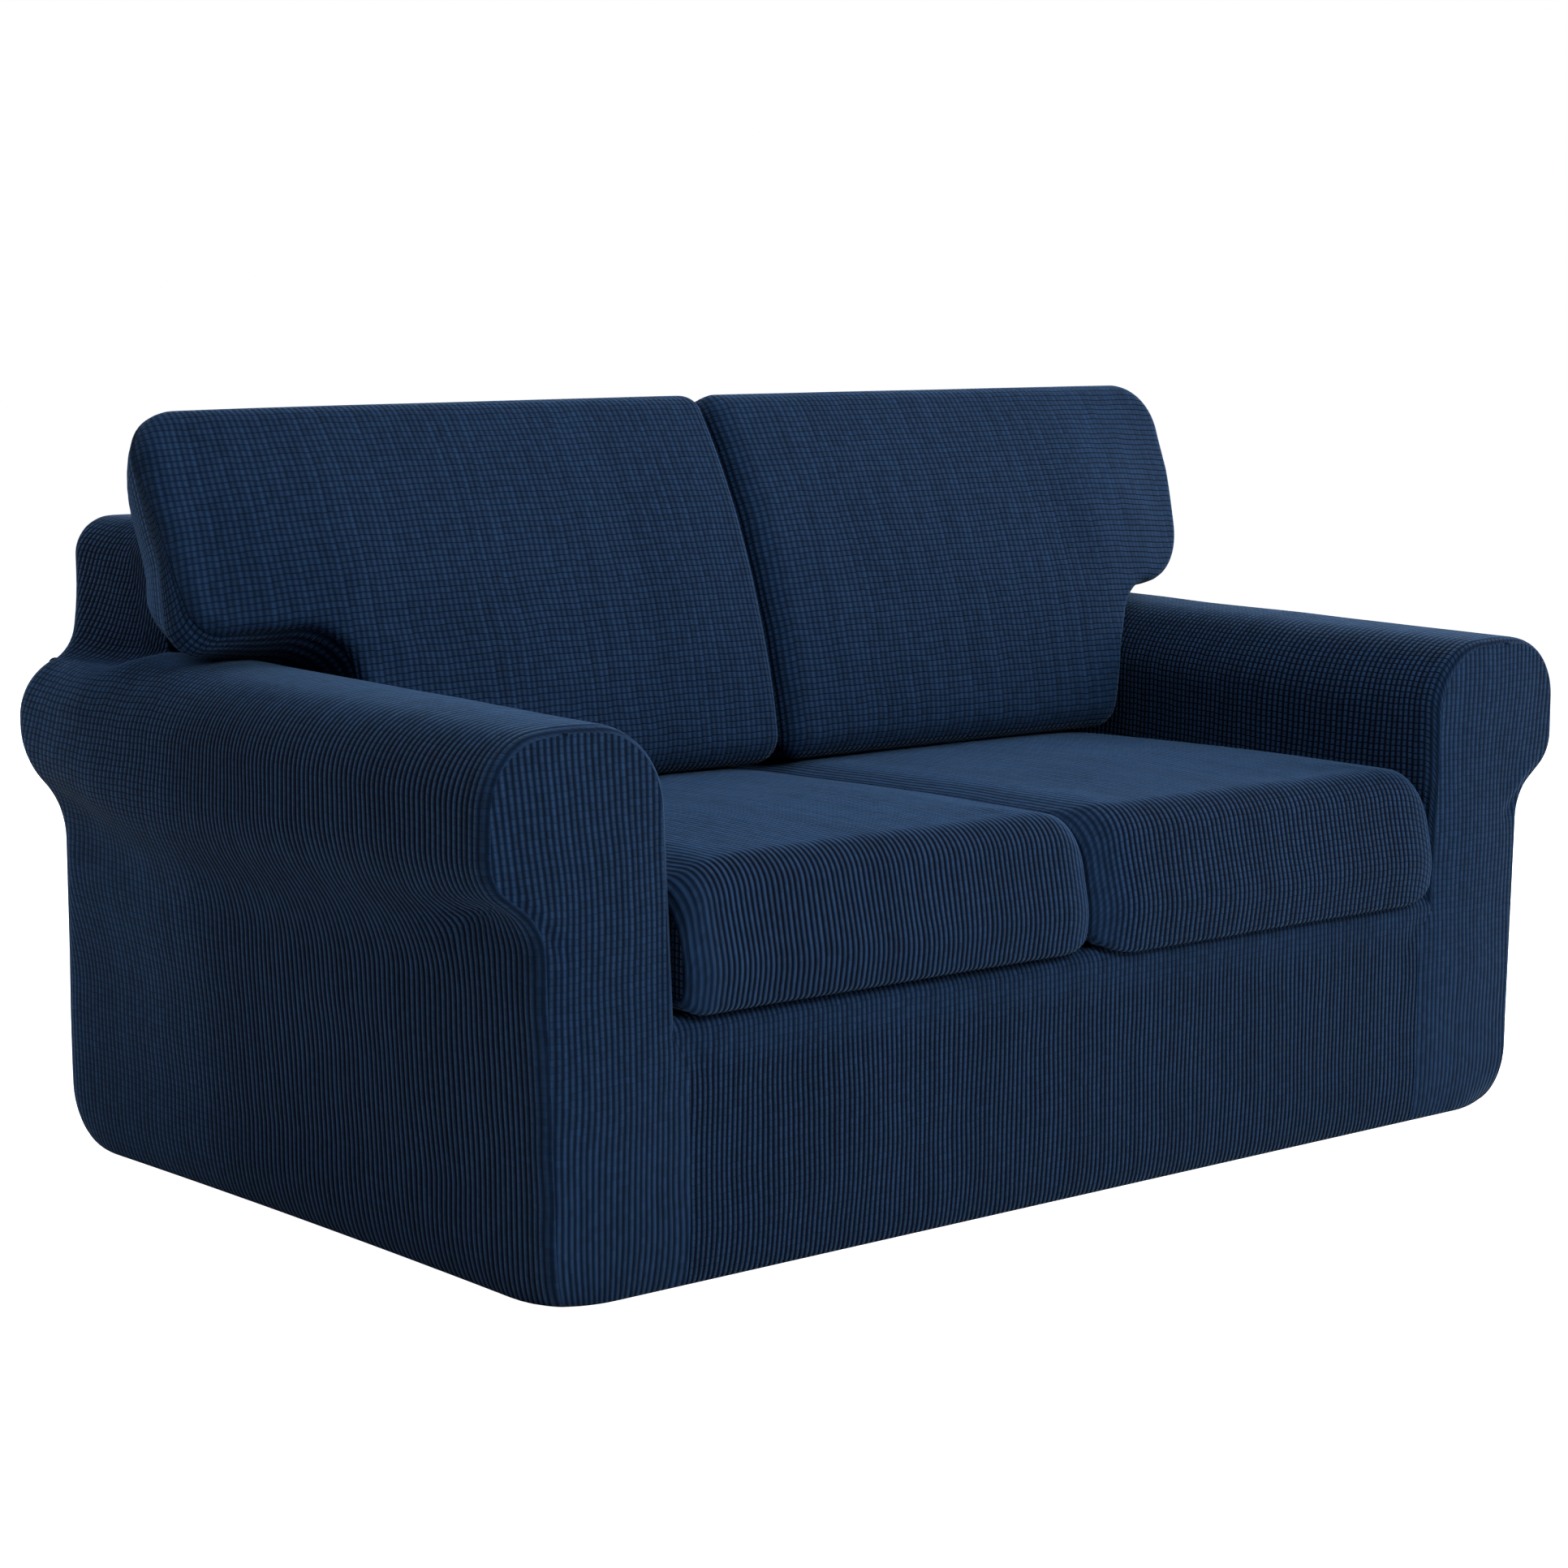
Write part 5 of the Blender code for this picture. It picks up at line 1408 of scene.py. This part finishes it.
def make_stage(context):
    """White floor and backdrop, soft area lights and the camera."""
    studio = context.scene.slipcover_studio
    half = FLOOR_SIZE / 2
    mesh = bpy.data.meshes.new("floor")
    corners = [(-half, -half, 0), (half, -half, 0), (half, half, 0), (-half, half, 0)]
    mesh.from_pydata(corners, [], [(0, 1, 2, 3)])
    mesh.materials.append(floor_material(studio))
    floor = bpy.data.objects.new("floor", mesh)
    context.scene.collection.objects.link(floor)
    for name, place, size, watts in LIGHTS:
        data = bpy.data.lights.new(name, "AREA")
        data.size, data.energy = size, watts
        light = bpy.data.objects.new(name, data)
        light.location = place
        light.rotation_euler = (Vector(AIM) - Vector(place)).to_track_quat("-Z", "Y").to_euler()
        context.scene.collection.objects.link(light)
    world = bpy.data.worlds.new("studio")
    world.use_nodes = True
    tree = world.node_tree
    tree.nodes.clear()
    seen = add_node(tree, "ShaderNodeLightPath").outputs["Is Camera Ray"]
    strength = ranged(tree, seen, ("To Min", AMBIENT), ("To Max", 1.0))
    sky = add_node(tree, "ShaderNodeBackground", [("Color", (1, 1, 1, 1)), ("Strength", strength)])
    add_node(tree, "ShaderNodeOutputWorld", [("Surface", sky.outputs[0])])
    context.scene.world = world
    context.scene.view_settings.view_transform = "Standard"
    data = bpy.data.cameras.new("camera")
    data.sensor_width, data.lens = 36.0, studio.lens
    camera = bpy.data.objects.new("camera", data)
    level = math.cos(studio.tilt)
    look = Vector((math.sin(studio.turn) * level, math.cos(studio.turn) * level, -math.sin(studio.tilt)))
    camera.location = studio.place
    camera.rotation_euler = look.to_track_quat("-Z", "Y").to_euler()
    context.scene.collection.objects.link(camera)
    context.scene.camera = camera


# ------------------------------------------------------------------ operators


class SLIPCOVER_OT_platform_apron(bpy.types.Operator):
    """Make the seat platform and front apron"""

    bl_idname = "slipcover.platform_apron"
    bl_label = "Platform and apron"

    def execute(self, context):
        make_platform_apron(context)
        return {"FINISHED"}


class SLIPCOVER_OT_arms(bpy.types.Operator):
    """Make the two arm panels, over the rolls from the platform to the hem"""

    bl_idname = "slipcover.arms"
    bl_label = "Arms"

    def execute(self, context):
        for label, side in SIDES:
            make_arm(context, label, side)
        return {"FINISHED"}


class SLIPCOVER_OT_arm_fronts(bpy.types.Operator):
    """Make the front panels of the two arms"""

    bl_idname = "slipcover.arm_fronts"
    bl_label = "Arm fronts"

    def execute(self, context):
        for label, side in SIDES:
            make_arm_front(context, label, side)
        return {"FINISHED"}


class SLIPCOVER_OT_back(bpy.types.Operator):
    """Make the inside back, the outside back and the two ends of the back"""

    bl_idname = "slipcover.back"
    bl_label = "Back"

    def execute(self, context):
        make_inside_back(context)
        make_outside_back(context)
        for label, side in SIDES:
            make_ear(context, label, side)
        return {"FINISHED"}


class SLIPCOVER_OT_seats(bpy.types.Operator):
    """Make the two seat cushion covers"""

    bl_idname = "slipcover.seats"
    bl_label = "Seat covers"

    def execute(self, context):
        for label, side in SIDES:
            make_seat(context, label, side)
        return {"FINISHED"}


class SLIPCOVER_OT_back_cushions(bpy.types.Operator):
    """Make the two T-shaped back cushion covers"""

    bl_idname = "slipcover.back_cushions"
    bl_label = "Back cushion covers"

    def execute(self, context):
        for label, side in SIDES:
            make_back_cushion(context, label, side)
        return {"FINISHED"}


class SLIPCOVER_OT_stage(bpy.types.Operator):
    """Make the floor, the lights and the camera"""

    bl_idname = "slipcover.stage"
    bl_label = "Studio"

    def execute(self, context):
        make_stage(context)
        return {"FINISHED"}


class SLIPCOVER_PT_sidebar(bpy.types.Panel):
    """Sizes and steps of the slipcover"""

    bl_idname = "SLIPCOVER_PT_sidebar"
    bl_label = "Slipcover"
    bl_space_type = "VIEW_3D"
    bl_region_type = "UI"
    bl_category = "Slipcover"

    def draw(self, context):
        for group in GROUPS:
            box = self.layout.box()
            box.label(text=group.bl_rna.description)
            settings = getattr(context.scene, GROUPS[group])
            for name in group.__annotations__:
                box.prop(settings, name)
        for operator in OPERATORS:
            self.layout.operator(operator.bl_idname)


GROUPS = {
    SlipcoverBase: "slipcover_base",
    SlipcoverCushions: "slipcover_cushions",
    SlipcoverCloth: "slipcover_cloth",
    SlipcoverStudio: "slipcover_studio",
}
OPERATORS = (
    SLIPCOVER_OT_platform_apron,
    SLIPCOVER_OT_arms,
    SLIPCOVER_OT_arm_fronts,
    SLIPCOVER_OT_back,
    SLIPCOVER_OT_seats,
    SLIPCOVER_OT_back_cushions,
    SLIPCOVER_OT_stage,
)


def register():
    for group, name in GROUPS.items():
        bpy.utils.register_class(group)
        setattr(bpy.types.Scene, name, PointerProperty(type=group))
    for made in (*OPERATORS, SLIPCOVER_PT_sidebar):
        bpy.utils.register_class(made)


def unregister():
    for made in reversed((*OPERATORS, SLIPCOVER_PT_sidebar)):
        bpy.utils.unregister_class(made)
    for group, name in GROUPS.items():
        delattr(bpy.types.Scene, name)
        bpy.utils.unregister_class(group)


def main():
    register()
    bpy.ops.slipcover.platform_apron()
    bpy.ops.slipcover.arms()
    bpy.ops.slipcover.arm_fronts()
    bpy.ops.slipcover.back()
    bpy.ops.slipcover.seats()
    bpy.ops.slipcover.back_cushions()
    bpy.ops.slipcover.stage()


if __name__ == "__main__":
    main()
